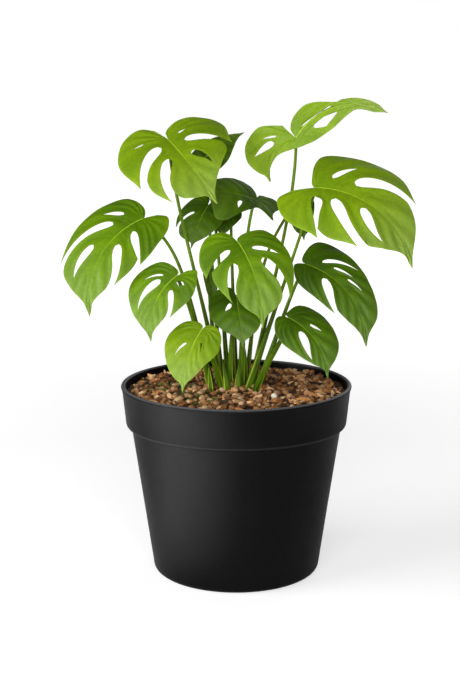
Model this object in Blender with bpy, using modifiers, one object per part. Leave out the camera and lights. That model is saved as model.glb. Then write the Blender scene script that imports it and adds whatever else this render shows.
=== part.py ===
# Potted mini monstera: a tapered plastic pot, its bark substrate, and a clump of
# leaf stalks, split leaves and young shoots, each a solid of its own.
# Metres, +Z up. The pot rests on z = 0 with its axis on Z, and -Y faces the viewer.
# Lengths in the tables are in millimetres and are scaled once, by MM.

import math
from collections import namedtuple

import bmesh
import bpy
import numpy as np

MM = 0.001
GAP = 0.3  # space left between pieces that touch

# Pot
RIM_RADIUS = 85.0
RIM_HEIGHT = 141.5
BASE_RADIUS = 61.4
BASE_ROUNDING = 5.0
FLOOR_THICKNESS = 3.0
WALL = 2.4
STEP_FILLET = 0.7
INNER_ROUNDING = 3.0
SHOULDER_RISE = 6.0
BODY_TOP_RADIUS = 77.6
STEP_HEIGHT = 110.8
COLLAR_FOOT_RADIUS = 81.6
COLLAR_FOOT_ROUNDING = 2.5
LIP_DEPTH = 2.4
LIP_OVERHANG = 0.8
RIM_WIDTH = 3.4
POT_SEGMENTS = 56
DRAIN_HOLES = 6
DRAIN_RADIUS = 4.0
DRAIN_RING_RADIUS = 34.0

# Substrate
SUBSTRATE_EDGE_HEIGHT = 137.0
SUBSTRATE_CROWN_HEIGHT = 141.0
CHIP_PITCH = 9.5
CHIP_RELIEF = 1.6
CHIP_SHIFT = 0.3
CHIP_SEED = 7

# Stalks and shoots
BURIED_DEPTH = 14.0
HOLE_CLEARANCE = 12.0
SHEATH_LENGTH = 56.0
STALK_TIP_RADIUS = 1.25
STALK_SWELL = 1.25  # how much thicker a stalk is low down, apart from its sheath
SHEATH_DECAY = 2.0
SHEATH_FALL = 1.3
ARRIVE_UNDER = 0.6
ARRIVE_UPRIGHT = 0.8
STALK_CLEARANCE = 0.45
STALK_BEVEL = 1
STALK_STATIONS = 12
FOOT_SPLAY = 0.012
SHOOT_STATIONS = 8
SHOOT_CURVE = 1.6
SHOOT_TAPER = 1.7
SHOOT_TIP = 0.06

# Leaf blades
BLADE_THICKNESS = 0.8
MARGIN_ANGLES = (155.0, 125.0, 90.0, 55.0, 25.0, 12.0)
SINUS_TURN = 13.0
SINUS_SHARE = 0.62
NECK_AT = 0.88
NECK_WIDTH = 0.042
DRIP_AT = 0.95
DRIP_WIDTH = 0.014
FAN_SHARE = 0.42
VEIN_BOW = 0.10
BOW_START = 0.25  # veins nearer the sinus than this share of the margin bow less
FIRST_ROW = 0.10
ROWS = 6
MIDRIB_STEPS = 7
COLUMNS = 9
MIDRIB_CROWDING = 1.25  # lateral veins stand closer together near the stalk
SPLIT_ROUNDING = 0.3
SPLIT_BEND = 1.5
SLOT_TAPER = 1.6
BAY_MOUTH = 0.3
LOBE_SHOULDER = 0.14
LOBE_SHOULDER_FALL = 5
LOBE_POINT = 0.05
LOBE_POINT_RISE = 6
MARGIN_STATIONS = 241
CURVE_STEPS = 24

# One leaf. The blade hangs between its stalk end and its tip, and its upper side
# looks towards facing. turns are how far the midrib bends down, swings sideways and
# twists from stalk to tip, in degrees.
# A half is reach, rise and droop: reach is how far the margin stands from the stalk
# end at each of its angles off the midrib, rise is the slope away from the midrib
# and droop is how far that slope turns down by the margin, at the stalk and at the
# tip, in degrees. A split is where along the half it starts and ends, from where to
# where it runs out from the midrib (shares), and its width; one that runs to 1 is
# open at the margin. bows is how far the lateral vein to each of its angles bows away
# from the tip, as a share of the vein, and fan is the share of the margin whose veins
# all start at the stalk end.
# A stalk's course is how far it leans at its foot towards the blade (0 upright, 1
# straight there), how far the leaning start and the arriving end carry (shares of
# its reach) and how far outwards it arrives.
Half = namedtuple("Half", "reach rise droop splits angles bows fan",
                  defaults=(MARGIN_ANGLES, (), FAN_SHARE))
Leaf = namedtuple("Leaf", "name stalk_end tip facing turns left right foot foot_radius course colour")

LEAVES = (
    Leaf("upper_left", (-49, 8, 319), (-13, -38, 277), (0.05, -0.8, 0.6), (25, 0, 0),
         Half((13, 27, 43, 45, 48, 54), 10, (35, 35),
              ((0.42, 0.41, 0.18, 0.34, 1.8), (0.53, 0.56, 0.20, 1.0, 7.6),
               (0.66, 0.75, 0.18, 0.72, 7.0))),
         Half((26, 34, 42, 48, 61, 62), 10, (35, 35),
              ((0.35, 0.34, 0.42, 0.64, 1.6), (0.51, 0.58, 0.20, 1.0, 10.5),
               (0.64, 0.77, 0.22, 1.0, 10.5))),
         (-13, 3), 2.7, (0.3, 0.40, 0.3, 0.0), "bright"),
    Leaf("upper_right", (43, 10, 320), (108, 0, 338), (-0.05, -0.92, 0.4), (36, -80, 0),
         Half((12, 18, 23, 27, 32, 38, 49), 5, (20, 20),
              ((0.55, 0.62, 0.14, 0.48, 22.0),), (60, 44, 33, 22, 12, 6, 6),
              (0.10, 0.10, 0.10, 0.10, 0.05, 0.0, 0.0)),
         Half((24, 37, 45, 44, 39, 36, 38, 31, 20, 10, 8, 14, 23, 34, 44, 52), 5, (40, 30),
              ((0.20, 0.20, 0.34, 0.62, 1.6), (0.27, 0.27, 0.40, 0.84, 5.5),
               (0.40, 0.40, 0.4, 0.7, 0.0), (0.755, 0.745, 0.24, 0.72, 22.0)),
              (262, 251, 234, 217, 199, 188, 178, 189, 197, 177, 110, 65, 40, 24, 11, 4),
              (0.10, 0.10, 0.10, 0.10, 0.16, 0.22, 0.28, 0.17) + (VEIN_BOW,) * 8, 0.56),
         (12, 3), 2.9, (1.0, 0.35, 0.3, 0.25), "bright"),
    Leaf("right", (57, -10, 286), (123, -40, 232), (0.15, -0.75, 0.65), (38, -66, 0),
         Half((3, 7, 33, 44, 59, 64, 73), 12, (42, 42),
              ((0.49, 0.51, 0.18, 0.54, 4.8), (0.60, 0.67, 0.19, 1.0, 11.0)),
              (155, 125, 90, 62, 42, 25, 12)),
         Half((29, 35, 39, 50, 70, 79), 10, (40, 40),
              ((0.41, 0.38, 0.20, 1.0, 8.0), (0.55, 0.70, 0.18, 1.0, 13.5),
               (0.70, 0.82, 0.14, 0.77, 12.0))),
         (9, -14), 3.6, (1.0, 0.35, 0.3, 0.45), "bright"),
    Leaf("left", (-67, -12, 264), (-102, -50, 200), (-0.2, -0.75, 0.62), (32, 66, 0),
         Half((18, 21, 25, 36, 57, 69), 10, (40, 40),
              ((0.52, 0.50, 0.18, 1.0, 8.0), (0.65, 0.76, 0.18, 1.0, 12.0))),
         Half((3, 10, 25, 41, 61, 69), 10, (42, 42),
              ((0.47, 0.47, 0.25, 0.60, 4.0), (0.56, 0.64, 0.21, 1.0, 8.5),
               (0.70, 0.79, 0.24, 0.77, 10.0))),
         (-18, -3), 2.9, (0.2, 0.60, 0.28, 1.6), "mid"),
    Leaf("centre", (1, -48, 252), (18, -75, 196), (0.1, -0.85, 0.5), (40, -25, 0),
         Half((3, 7, 22, 37, 51, 54), 10, (40, 40),
              ((0.52, 0.51, 0.16, 0.69, 3.4), (0.62, 0.73, 0.24, 1.0, 10.0))),
         Half((14, 23, 31, 37, 48, 53), 10, (40, 40),
              ((0.48, 0.48, 0.24, 1.0, 5.8), (0.61, 0.75, 0.28, 1.0, 11.0))),
         (3, -5), 2.9, (0.0, 0.85, 0.12, 0.0), "mid"),
    Leaf("lower_left", (-42, -42, 227), (-59, -60, 184), (-0.2, -0.8, 0.5), (30, 55, 0),
         Half((15, 15, 19, 24, 34, 39), 10, (40, 40),
              ((0.45, 0.34, 0.16, 0.50, 3.8), (0.58, 0.72, 0.22, 1.0, 7.0))),
         Half((4, 7, 17, 31, 36, 40), 10, (42, 42),
              ((0.49, 0.53, 0.22, 0.64, 1.8), (0.57, 0.74, 0.16, 0.78, 8.4))),
         (-18, -12), 2.7, (0.1, 0.50, 0.2, 0.8), "mid"),
    Leaf("lower_right", (49, -30, 234), (90, -58, 180), (0.15, -0.75, 0.6), (35, -60, 0),
         Half((4, 8, 24, 31, 45, 60), 12, (42, 42),
              ((0.50, 0.55, 0.20, 0.86, 4.2), (0.57, 0.64, 0.24, 0.52, 3.8),
               (0.66, 0.72, 0.28, 0.54, 3.8))),
         Half((8, 10, 16, 24, 43, 56), 10, (40, 40),
              ((0.59, 0.64, 0.14, 1.0, 11.5),)),
         (17, -10), 2.9, (0.9, 0.35, 0.3, 0.7), "deep"),
    Leaf("front_left", (-24, -52, 191), (-37, -72, 151), (-0.1, -0.85, 0.5), (30, 25, 0),
         Half((6, 11, 16, 22, 29, 36), 10, (40, 40),
              ((0.56, 0.66, 0.22, 0.48, 2.0),)),
         Half((4, 7, 14, 25, 33, 38), 10, (40, 40),
              ((0.61, 0.68, 0.22, 0.62, 2.4),)),
         (-11, -18), 2.6, (0.2, 0.45, 0.3, 0.3), "bright"),
    Leaf("front_right", (37, -45, 198), (63, -68, 160), (0.15, -0.75, 0.6), (30, -50, 0),
         Half((4, 6, 14, 23, 36, 42), 12, (42, 42),
              ((0.60, 0.65, 0.20, 0.44, 3.8),)),
         Half((8, 11, 17, 24, 36, 43), 10, (40, 40),
              ((0.63, 0.79, 0.14, 0.82, 12.0),)),
         (14, -19), 2.6, (0.6, 0.40, 0.3, 0.3), "deep"),
    Leaf("inner", (0, -29, 211), (5, -49, 177), (0, -0.9, 0.43), (35, 0, 0),
         Half((8, 12, 17, 22, 30, 33), 10, (40, 40), ()),
         Half((9, 14, 20, 25, 29, 31), 10, (40, 40),
              ((0.56, 0.60, 0.18, 0.46, 4.0),)),
         (-4, -8), 2.4, (0.0, 0.50, 0.3, 0.3), "deep"),
    Leaf("back_top", (13.5, 18, 275), (-25, 0, 282), (0, -0.55, 0.85), (30, 0, 0),
         Half((14, 24, 25, 19, 18, 21, 12, 8, 14, 24, 38, 44, 41), -5, (30, 30),
              ((0.66, 0.67, 0.28, 0.60, 4.5),),
              (215, 200, 185, 165, 148, 137, 128, 100, 61, 47, 40, 32, 20)),
         Half((3, 5, 12, 21, 31, 37), 20, (30, 30), ()),
         (4, 11), 2.4, (0.4, 0.40, 0.3, 0.0), "deep"),
    Leaf("back_left", (-21.2, 30, 269), (-33.3, 13, 239), (-0.3, -0.75, 0.6), (40, 0, 0),
         Half((14, 18, 18, 21, 27, 30), 10, (40, 40), ()),
         Half((12, 15, 19, 25, 31, 32), 10, (40, 40),
              ((0.58, 0.66, 0.3, 1.0, 3.0),)),
         (-11, 11), 2.4, (0.4, 0.40, 0.3, 0.0), "deep"),
    Leaf("behind_left", (-24, 38, 303), (6, 52, 322), (-0.1, -0.5, 0.86), (30, 0, 0),
         Half((12, 15, 17, 20, 24, 28), 10, (40, 40), ()),
         Half((12, 15, 17, 20, 24, 28), 10, (40, 40), ()),
         (-6, 15), 2.3, (0.4, 0.40, 0.3, 0.0), "deep"),
    Leaf("behind_right", (46.5, 43, 272), (50.5, 28, 243), (0, -0.8, 0.6), (35, 0, 0),
         Half((8, 10, 12, 14, 20, 26), 10, (40, 40), ()),
         Half((8, 10, 12, 14, 20, 26), 10, (40, 40), ()),
         (8, 13), 2.3, (0.0, 0.60, 0.3, 1.2), "deep"),
    Leaf("behind_centre", (-4, 40, 263), (-13, 30, 246), (-0.1, -0.8, 0.6), (30, 0, 0),
         Half((6, 8, 9, 10, 14, 18), 10, (40, 40), ()),
         Half((6, 8, 9, 10, 14, 18), 10, (40, 40), ()),
         (-1, 20), 2.2, (0.4, 0.40, 0.3, 0.0), "deep"),
    Leaf("young_left", (-20, -4, 226), (-16, -10, 201), (0, -0.9, 0.4), (10, 0, 0),
         Half((2, 3, 4, 6, 11, 18), 30, (20, 20), ()),
         Half((2, 3, 4, 6, 11, 18), 30, (20, 20), ()),
         (-13, -5), 2.2, (0.4, 0.40, 0.3, 0.0), "deep"),
)


# One young shoot: a pointed sheath beside the stalks.
Shoot = namedtuple("Shoot", "name foot tip height radius")

SHOOTS = (
    Shoot("front", (2, -21), (2, -22), 19, 2.7),
    Shoot("left", (-5, -20), (-10, -22), 22, 2.8),
    Shoot("far_left", (-17, -19), (-20, -20), 18, 2.0),
    Shoot("back", (6, 2), (7, 3), 26, 2.2),
)


def unit(vector):
    """The vector at length one."""
    vector = np.asarray(vector, float)
    return vector / np.linalg.norm(vector)


def polar(angle, radius):
    """A point of the flat blade, at this angle off the midrib in degrees."""
    return (radius * math.cos(math.radians(angle)), radius * math.sin(math.radians(angle)))


def smooth_curve(points, steps):
    """A centripetal Catmull-Rom curve through the points, evenly resampled."""
    points = np.array(points, float)
    points = np.vstack([2 * points[0] - points[1], points, 2 * points[-1] - points[-2]])
    dense = []
    for i in range(1, len(points) - 2):
        p0, p1, p2, p3 = points[i - 1:i + 3]
        t1 = np.linalg.norm(p1 - p0) ** 0.5
        t2 = t1 + np.linalg.norm(p2 - p1) ** 0.5
        t3 = t2 + np.linalg.norm(p3 - p2) ** 0.5
        for t in np.linspace(t1, t2, CURVE_STEPS, endpoint=False):
            a1 = (t1 - t) / t1 * p0 + t / t1 * p1
            a2 = (t2 - t) / (t2 - t1) * p1 + (t - t1) / (t2 - t1) * p2
            a3 = (t3 - t) / (t3 - t2) * p2 + (t - t2) / (t3 - t2) * p3
            b1 = (t2 - t) / t2 * a1 + t / t2 * a2
            b2 = (t3 - t) / (t3 - t1) * a2 + (t - t1) / (t3 - t1) * a3
            dense.append((t2 - t) / (t2 - t1) * b1 + (t - t1) / (t2 - t1) * b2)
    dense.append(points[-2])
    dense = np.array(dense)
    run = np.concatenate([[0.0], np.cumsum(np.linalg.norm(np.diff(dense, axis=0), axis=1))])
    at = np.linspace(0.0, run[-1], steps)
    return np.stack([np.interp(at, run, dense[:, k]) for k in range(dense.shape[1])], axis=1)


class FlatHalf:
    """Half a blade laid flat: the midrib along +X, the margin on the +Y side.

    along runs from the sinus (0) round the basal lobe to the tip (1), and out runs
    from the midrib (0) to the margin (1) along the lateral veins.
    """

    def __init__(self, half, length):
        self.length = length
        self.fan = half.fan
        bows = half.bows or (VEIN_BOW,) * len(half.reach)
        ring = [(*polar(half.angles[0] + SINUS_TURN, SINUS_SHARE * half.reach[0]), bows[0])]
        ring += [(*polar(a, r), b) for a, r, b in zip(half.angles, half.reach, bows)]
        ring += [(NECK_AT * length, NECK_WIDTH * length, bows[-1]),
                 (DRIP_AT * length, DRIP_WIDTH * length, bows[-1]), (length, 0.0, bows[-1])]
        self.edge = smooth_curve(ring, MARGIN_STATIONS)

    def margin(self, along):
        """Place of the margin, and the bow of the vein that ends there."""
        stations = np.linspace(0.0, 1.0, len(self.edge))
        return np.array([np.interp(along, stations, self.edge[:, k]) for k in range(3)])

    def midrib(self, along):
        share = min(max((along - self.fan) / (1.0 - self.fan), 0.0), 1.0)
        return np.array([self.length * share ** MIDRIB_CROWDING, 0.0])

    def point(self, along, out):
        start = self.midrib(along)
        end_x, end_y, share = self.margin(min(max(along, 0.0), 1.0))
        chord = np.array([end_x, end_y]) - start
        bow = np.array([-chord[1], chord[0]]) * share * min(max(along, 0.0) / BOW_START, 1.0)
        return start + chord * out + bow * 4.0 * out * (1.0 - out)

    def width_share(self, along, out, width):
        """How much of along this width in millimetres covers at this place."""
        step = 0.01
        spread = np.linalg.norm(self.point(along + step, out) - self.point(along - step, out))
        return width * 2.0 * step / max(spread, 1e-6)


def split_width(place, is_open):
    """Width of a split along its run, as shares of its widest on the near and far side.

    Its inner end is round. A slot then tapers to a point, and a bay narrows to its mouth.
    """
    inner = math.sqrt(1.0 - (1.0 - min(place / SPLIT_ROUNDING, 1.0)) ** 2)
    if is_open:
        return inner * 0.5 * (1.0 - place ** 2), inner * (0.5 - (0.5 - BAY_MOUTH) * place ** 2)
    tail = max(place - SPLIT_ROUNDING, 0.0) / (1.0 - SPLIT_ROUNDING)
    side = 0.5 * inner * (1.0 - tail ** SLOT_TAPER)
    return side, side


class Sheet:
    """Flat points and triangles of one blade before it is bent."""

    def __init__(self, length, halves, rows, midrib_steps, columns):
        self.points = []
        self.faces = []
        self.length = length
        self.spine = [self.add(length * k / midrib_steps, 0.0) for k in range(midrib_steps + 1)]
        for half, side in zip(halves, (1.0, -1.0)):
            self.add_half(half, side, rows, columns)

    def add(self, x, y):
        self.points.append((x, y))
        return len(self.points) - 1

    def add_face(self, corners, side):
        corners = [c for i, c in enumerate(corners) if c != corners[i - 1]]
        if len(set(corners)) < 3:
            return
        if side < 0:
            corners.reverse()
        self.faces.append(corners)

    def add_half(self, half, side, rows, columns):
        flat = FlatHalf(half, self.length)
        levels = np.concatenate([[FIRST_ROW], np.linspace(FIRST_ROW, 1.0, rows + 1)[1:]])

        def place(along, out):
            x, y = flat.point(along, out)
            return self.add(x, side * y)

        edges = [self.plain_column(0.0, levels)]
        for split in half.splits:
            edges.append(self.split_column(flat, split, levels))
        previous_ids = [place(a, o) for a, o in zip(edges[0]["far"], edges[0]["level"])]
        first_row = [previous_ids[0]]
        stations = [flat.midrib(0.0)[0]]
        for start, end in zip(edges, edges[1:] + [None]):
            last = end is None
            end_near = end["near"] if not last else [1.0] * len(levels)
            end_level = end["level"] if not last else levels
            span = end_near[0] - start["far"][0]
            count = max(2, int(round(columns * span)))
            for k in range(1, count + 1):
                share = k / count
                if last and k == count:
                    ids = [self.spine[-1]] * len(levels)
                    station = self.length
                else:
                    along = [a + (b - a) * share for a, b in zip(start["far"], end_near)]
                    level = [a + (b - a) * share for a, b in zip(start["level"], end_level)]
                    level = self.round_corner(level, share, start["open"], not last and end["open"])
                    ids = [place(a, o) for a, o in zip(along, level)]
                    station = flat.midrib(along[0])[0]
                for j in range(len(levels) - 1):
                    self.add_face([previous_ids[j], ids[j], ids[j + 1], previous_ids[j + 1]], side)
                previous_ids = ids
                first_row.append(ids[0])
                stations.append(station)
            if not last:
                far_ids = []
                for j, ids_j in enumerate(previous_ids):
                    apart = end["far"][j] - end["near"][j]
                    if apart > 1e-9:
                        level = self.round_corner(end["level"], 0.0, end["open"], False)
                        far_ids.append(place(end["far"][j], level[j]))
                    else:
                        far_ids.append(ids_j)
                previous_ids = far_ids
        self.join_to_spine(first_row, stations, side)

    def plain_column(self, along, levels):
        return {"near": [along] * len(levels), "far": [along] * len(levels),
                "level": list(levels), "open": False}

    def split_column(self, flat, split, levels):
        """Both sides of a split: equal where the blade is whole, apart where it is split."""
        at_start, at_end, start, end, width = split
        is_open = end >= 1.0
        count = len(levels) - 1
        step = (1.0 - FIRST_ROW) / count
        first = min(max(int(round((start - FIRST_ROW) / step)), 1), count - 2)
        final = count if is_open else int(round((end - FIRST_ROW) / step))
        final = count if is_open else min(max(final, first + 2), count - 1)
        known_rows = [0, first, final] + ([] if is_open else [count])
        known_levels = [FIRST_ROW, start, end] + ([] if is_open else [1.0])
        level = list(np.interp(range(count + 1), known_rows, known_levels))
        near = []
        far = []
        for j in range(count + 1):
            place = min(max((level[j] - start) / (end - start), 0.0), 1.0)
            at = at_start + (at_end - at_start) * place ** SPLIT_BEND
            apart = (0.0, 0.0)
            if first < j and (j < final or is_open):
                apart = split_width(place, is_open)
            share = flat.width_share(at, level[j], width)
            near.append(at - apart[0] * share)
            far.append(at + apart[1] * share)
        return {"near": near, "far": far, "level": level, "open": is_open}

    def round_corner(self, level, share, start_open, end_open):
        """A lobe is round where it starts and drawn out to a point where it ends."""
        top = 1.0
        if start_open:
            top -= LOBE_SHOULDER * (1.0 - share) ** LOBE_SHOULDER_FALL
        if end_open:
            top += LOBE_POINT * share ** LOBE_POINT_RISE
        return [v * (1.0 + (top - 1.0) * v * v) for v in level]

    def join_to_spine(self, row, stations, side):
        """Triangles between the midrib and the first row of points beside it."""
        i = 0
        j = 0
        spine_at = [self.points[k][0] for k in self.spine]
        while i < len(self.spine) - 1 or j < len(row) - 1:
            step_spine = i < len(self.spine) - 1 and (
                j == len(row) - 1 or spine_at[i + 1] <= stations[j + 1])
            if step_spine:
                self.add_face([self.spine[i], self.spine[i + 1], row[j]], side)
                i += 1
            else:
                self.add_face([self.spine[i], row[j + 1], row[j]], side)
                j += 1


class Pose:
    """Bends the flat blade and carries it to its place on the plant."""

    def __init__(self, leaf):
        self.leaf = leaf
        self.base = np.array(leaf.stalk_end, float)
        chord = np.array(leaf.tip, float) - self.base
        arch, sweep, twist = (math.radians(turn) for turn in leaf.turns)
        bend = np.array([twist, arch, sweep])
        self.bend = np.linalg.norm(bend)
        x, y, z = bend / self.bend
        self.axis = np.array([[0, -z, y], [z, 0, -x], [-y, x, 0]])
        self.length = 1.0
        end, _ = self.spine(1.0)
        middle = self.spine(0.5)[1][:, 2]
        self.length = np.linalg.norm(chord) / np.linalg.norm(end)
        inner = self.triad(end, middle)
        outer = self.triad(chord, np.array(leaf.facing, float))
        self.turned = outer @ inner.T

    def triad(self, forward, normal):
        """Three square axes: forward, across and the side of normal."""
        forward = unit(forward)
        normal = unit(normal - forward * np.dot(normal, forward))
        return np.stack([forward, np.cross(normal, forward), normal], axis=1)

    def spine(self, x):
        """Place and axes of the midrib this far from the stalk, a steady bend."""
        share = max(x / self.length, 0.0)
        angle = self.bend * share
        around = self.axis
        turn = np.eye(3) + math.sin(angle) * around + (1 - math.cos(angle)) * around @ around
        run = (share * np.eye(3) + (1 - math.cos(angle)) / self.bend * around
               + (share - math.sin(angle) / self.bend) * around @ around)
        place = run[:, 0] * self.length + turn[:, 0] * min(x, 0.0)
        return place, turn

    def place(self, x, y):
        """World position of a point of the flat blade."""
        half = self.leaf.left if y >= 0 else self.leaf.right
        spine, axes = self.spine(x)
        rise = math.radians(half.rise)
        share = min(max(x / self.length, 0.0), 1.0)
        droop = math.radians(half.droop[0] + (half.droop[1] - half.droop[0]) * share)
        width = max(half.reach[1:4])
        turned = rise - droop * abs(y) / width
        sideways = width / droop * (math.sin(rise) - math.sin(turned))
        lift = width / droop * (math.cos(turned) - math.cos(rise))
        local = spine + axes[:, 1] * math.copysign(sideways, y) + axes[:, 2] * lift
        return self.base + self.turned @ local


def flat_area(points, corners):
    """Area of a flat triangle, negative where it is turned over."""
    (ax, ay), (bx, by), (cx, cy) = (points[c] for c in corners)
    return 0.5 * ((bx - ax) * (cy - ay) - (by - ay) * (cx - ax))


def face_triangles(points, face):
    """A face as triangles. A quad is cut across the way that keeps both widest."""
    if len(face) == 3:
        return [tuple(face)]
    a, b, c, d = face
    ways = (((a, b, c), (a, c, d)), ((a, b, d), (b, c, d)))
    return max(ways, key=lambda way: min(flat_area(points, corners) for corners in way))


def blade_points(leaf):
    """Bent points in metres, and triangles, of the middle surface of one blade."""
    pose = Pose(leaf)
    sheet = Sheet(pose.length, (leaf.left, leaf.right), ROWS, MIDRIB_STEPS, COLUMNS)
    points = np.array([pose.place(x, y) for x, y in sheet.points]) * MM
    triangles = []
    for face in sheet.faces:
        triangles += face_triangles(sheet.points, face)
    return points, triangles


def stalk_path(leaf):
    """Centre line and radius of a leaf stalk, from its foot in the substrate to the blade."""
    pose = Pose(leaf)
    normal = pose.turned @ pose.spine(0.0)[1][:, 2]
    lean, rise_share, arrive_share, outward = leaf.course
    foot = np.array([leaf.foot[0], leaf.foot[1], SUBSTRATE_CROWN_HEIGHT])
    away = unit((pose.base - foot) * np.array([1.0, 1.0, 0.0]))
    arrive = unit(ARRIVE_UNDER * normal + np.array([0.0, 0.0, ARRIVE_UPRIGHT]) + outward * away)
    slope = np.dot(arrive, normal)
    clear = BLADE_THICKNESS / 2 + STALK_CLEARANCE + STALK_TIP_RADIUS * math.sqrt(1 - slope * slope)
    end = pose.base - arrive * clear / slope
    reach = np.linalg.norm(end - foot)
    upright = unit((leaf.foot[0] * FOOT_SPLAY, leaf.foot[1] * FOOT_SPLAY, 1.0))
    rising = unit(upright * (1.0 - lean) + unit(end - foot) * lean)
    first = foot + rising * reach * rise_share
    second = end - arrive * reach * arrive_share
    path = [foot - np.array([0.0, 0.0, BURIED_DEPTH])]
    radii = [leaf.foot_radius]
    for t in np.linspace(0.0, 1.0, STALK_STATIONS):
        path.append((1 - t) ** 3 * foot + 3 * (1 - t) ** 2 * t * first
                    + 3 * (1 - t) * t * t * second + t ** 3 * end)
        above = max(path[-1][2] - SUBSTRATE_CROWN_HEIGHT, 0.0)
        sheath = math.exp(-SHEATH_DECAY * (above / SHEATH_LENGTH) ** SHEATH_FALL)
        plain = STALK_TIP_RADIUS * (STALK_SWELL + (1.0 - STALK_SWELL) * t)
        radii.append(plain + (leaf.foot_radius - plain) * sheath)
    return np.array(path), np.array(radii)


def shoot_path(shoot):
    """Centre line and radius of a young shoot, a pointed sheath."""
    foot = np.array([shoot.foot[0], shoot.foot[1], SUBSTRATE_CROWN_HEIGHT - BURIED_DEPTH])
    tip = np.array([shoot.tip[0], shoot.tip[1], SUBSTRATE_CROWN_HEIGHT + shoot.height])
    path = []
    radii = []
    for t in np.linspace(0.0, 1.0, SHOOT_STATIONS):
        path.append(foot + (tip - foot) * np.array([t ** SHOOT_CURVE, t ** SHOOT_CURVE, t]))
        above = max(path[-1][2] - SUBSTRATE_CROWN_HEIGHT, 0.0) / shoot.height
        radii.append(shoot.radius * max(1.0 - above ** SHOOT_TAPER, SHOOT_TIP))
    return np.array(path), np.array(radii)


def tube(name, path, radii, collection, material):
    """A round stem of changing thickness, made from a bevelled curve with closed ends."""
    curve = bpy.data.curves.new(name, "CURVE")
    curve.dimensions = "3D"
    curve.bevel_depth = MM
    curve.bevel_resolution = STALK_BEVEL
    curve.use_fill_caps = True
    line = curve.splines.new("POLY")
    line.points.add(len(path) - 1)
    for point, place, radius in zip(line.points, path, radii):
        point.co = (*(place * MM), 1.0)
        point.radius = radius
    guide = bpy.data.objects.new(name + "_guide", curve)
    bpy.context.scene.collection.objects.link(guide)
    bpy.context.view_layer.update()
    graph = bpy.context.evaluated_depsgraph_get()
    mesh = bpy.data.meshes.new_from_object(guide.evaluated_get(graph))
    bpy.data.objects.remove(guide)
    bpy.data.curves.remove(curve)
    mesh.name = name
    shape = bmesh.new()
    shape.from_mesh(mesh)
    bmesh.ops.remove_doubles(shape, verts=shape.verts, dist=1e-6)
    bmesh.ops.recalc_face_normals(shape, faces=shape.faces)
    for face in shape.faces:
        face.smooth = len(face.verts) == 4
    shape.to_mesh(mesh)
    shape.free()
    obj = bpy.data.objects.new(name, mesh)
    collection.objects.link(obj)
    if material:
        mesh.materials.append(material)
    return obj


def add_mesh(name, points, faces, collection, material):
    mesh = bpy.data.meshes.new(name)
    mesh.from_pydata([tuple(p) for p in points], [], faces)
    mesh.update()
    obj = bpy.data.objects.new(name, mesh)
    collection.objects.link(obj)
    if material:
        mesh.materials.append(material)
    return obj


def arc(centre, radius, start, end, steps):
    """Points of a circular arc of the pot's profile, angles in degrees."""
    turns = np.radians(np.linspace(start, end, steps))
    return [(centre[0] + radius * math.cos(t), centre[1] + radius * math.sin(t)) for t in turns]


def pot_profile():
    """Half section of the pot at +X: down the outer side, across the base, up the inside."""
    top = RIM_HEIGHT
    half = RIM_WIDTH / 2
    slope = (BODY_TOP_RADIUS - BASE_RADIUS) / STEP_HEIGHT
    foot = COLLAR_FOOT_ROUNDING
    points = arc((RIM_RADIUS - half, top - half), half, 90, 0, 4)
    points += [(RIM_RADIUS - LIP_OVERHANG / 4, top - LIP_DEPTH)]
    points += [(RIM_RADIUS - LIP_OVERHANG, top - LIP_DEPTH - LIP_OVERHANG)]
    points += arc((COLLAR_FOOT_RADIUS - foot, STEP_HEIGHT + foot), foot, 0, -80, 4)
    points += [(BODY_TOP_RADIUS + STEP_FILLET, STEP_HEIGHT), (BODY_TOP_RADIUS, STEP_HEIGHT - STEP_FILLET)]
    points += [(BODY_TOP_RADIUS - slope * STEP_HEIGHT / 2, STEP_HEIGHT / 2)]
    rounding = BASE_ROUNDING
    edge = BASE_RADIUS + slope * rounding
    points += arc((edge - rounding, rounding), rounding, -8, -90, 5)
    points += [(0.0, 0.0), (0.0, FLOOR_THICKNESS)]
    inner = BASE_RADIUS - WALL
    points += arc((inner - INNER_ROUNDING, FLOOR_THICKNESS + INNER_ROUNDING), INNER_ROUNDING, -90, 0, 4)
    points += [(BODY_TOP_RADIUS - WALL, STEP_HEIGHT)]
    points += [(COLLAR_FOOT_RADIUS - WALL, STEP_HEIGHT + SHOULDER_RISE)]
    points += [(RIM_RADIUS - RIM_WIDTH, top - SHOULDER_RISE / 2)]
    points += arc((RIM_RADIUS - half, top - half), half, 180, 90, 4)[:-1]
    return points


def inner_radius(height):
    """Radius of the pot's inner wall at this height."""
    heights = (FLOOR_THICKNESS + INNER_ROUNDING, STEP_HEIGHT, STEP_HEIGHT + SHOULDER_RISE,
               RIM_HEIGHT - SHOULDER_RISE / 2)
    radii = (BASE_RADIUS - WALL, BODY_TOP_RADIUS - WALL, COLLAR_FOOT_RADIUS - WALL,
             RIM_RADIUS - RIM_WIDTH)
    return float(np.interp(height, heights, radii))


def turned(name, profile, collection, material):
    """A solid turned round the Z axis from a closed half section, outer side first."""
    count = len(profile)
    points = [(x * MM, 0.0, z * MM) for x, z in profile]
    mesh = bpy.data.meshes.new(name)
    mesh.from_pydata(points, [(i, (i + 1) % count) for i in range(count)], [])
    obj = bpy.data.objects.new(name, mesh)
    collection.objects.link(obj)
    screw = obj.modifiers.new("turn", "SCREW")
    screw.steps = POT_SEGMENTS
    screw.render_steps = POT_SEGMENTS
    screw.use_merge_vertices = True
    screw.merge_threshold = 0.00005
    screw.use_smooth_shade = True
    if material:
        mesh.materials.append(material)
    return obj


def apply_modifiers(obj):
    """Replace the object's mesh by its evaluated shape."""
    bpy.context.view_layer.update()
    graph = bpy.context.evaluated_depsgraph_get()
    mesh = bpy.data.meshes.new_from_object(obj.evaluated_get(graph))
    obj.modifiers.clear()
    obj.data = mesh
    return mesh


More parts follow.
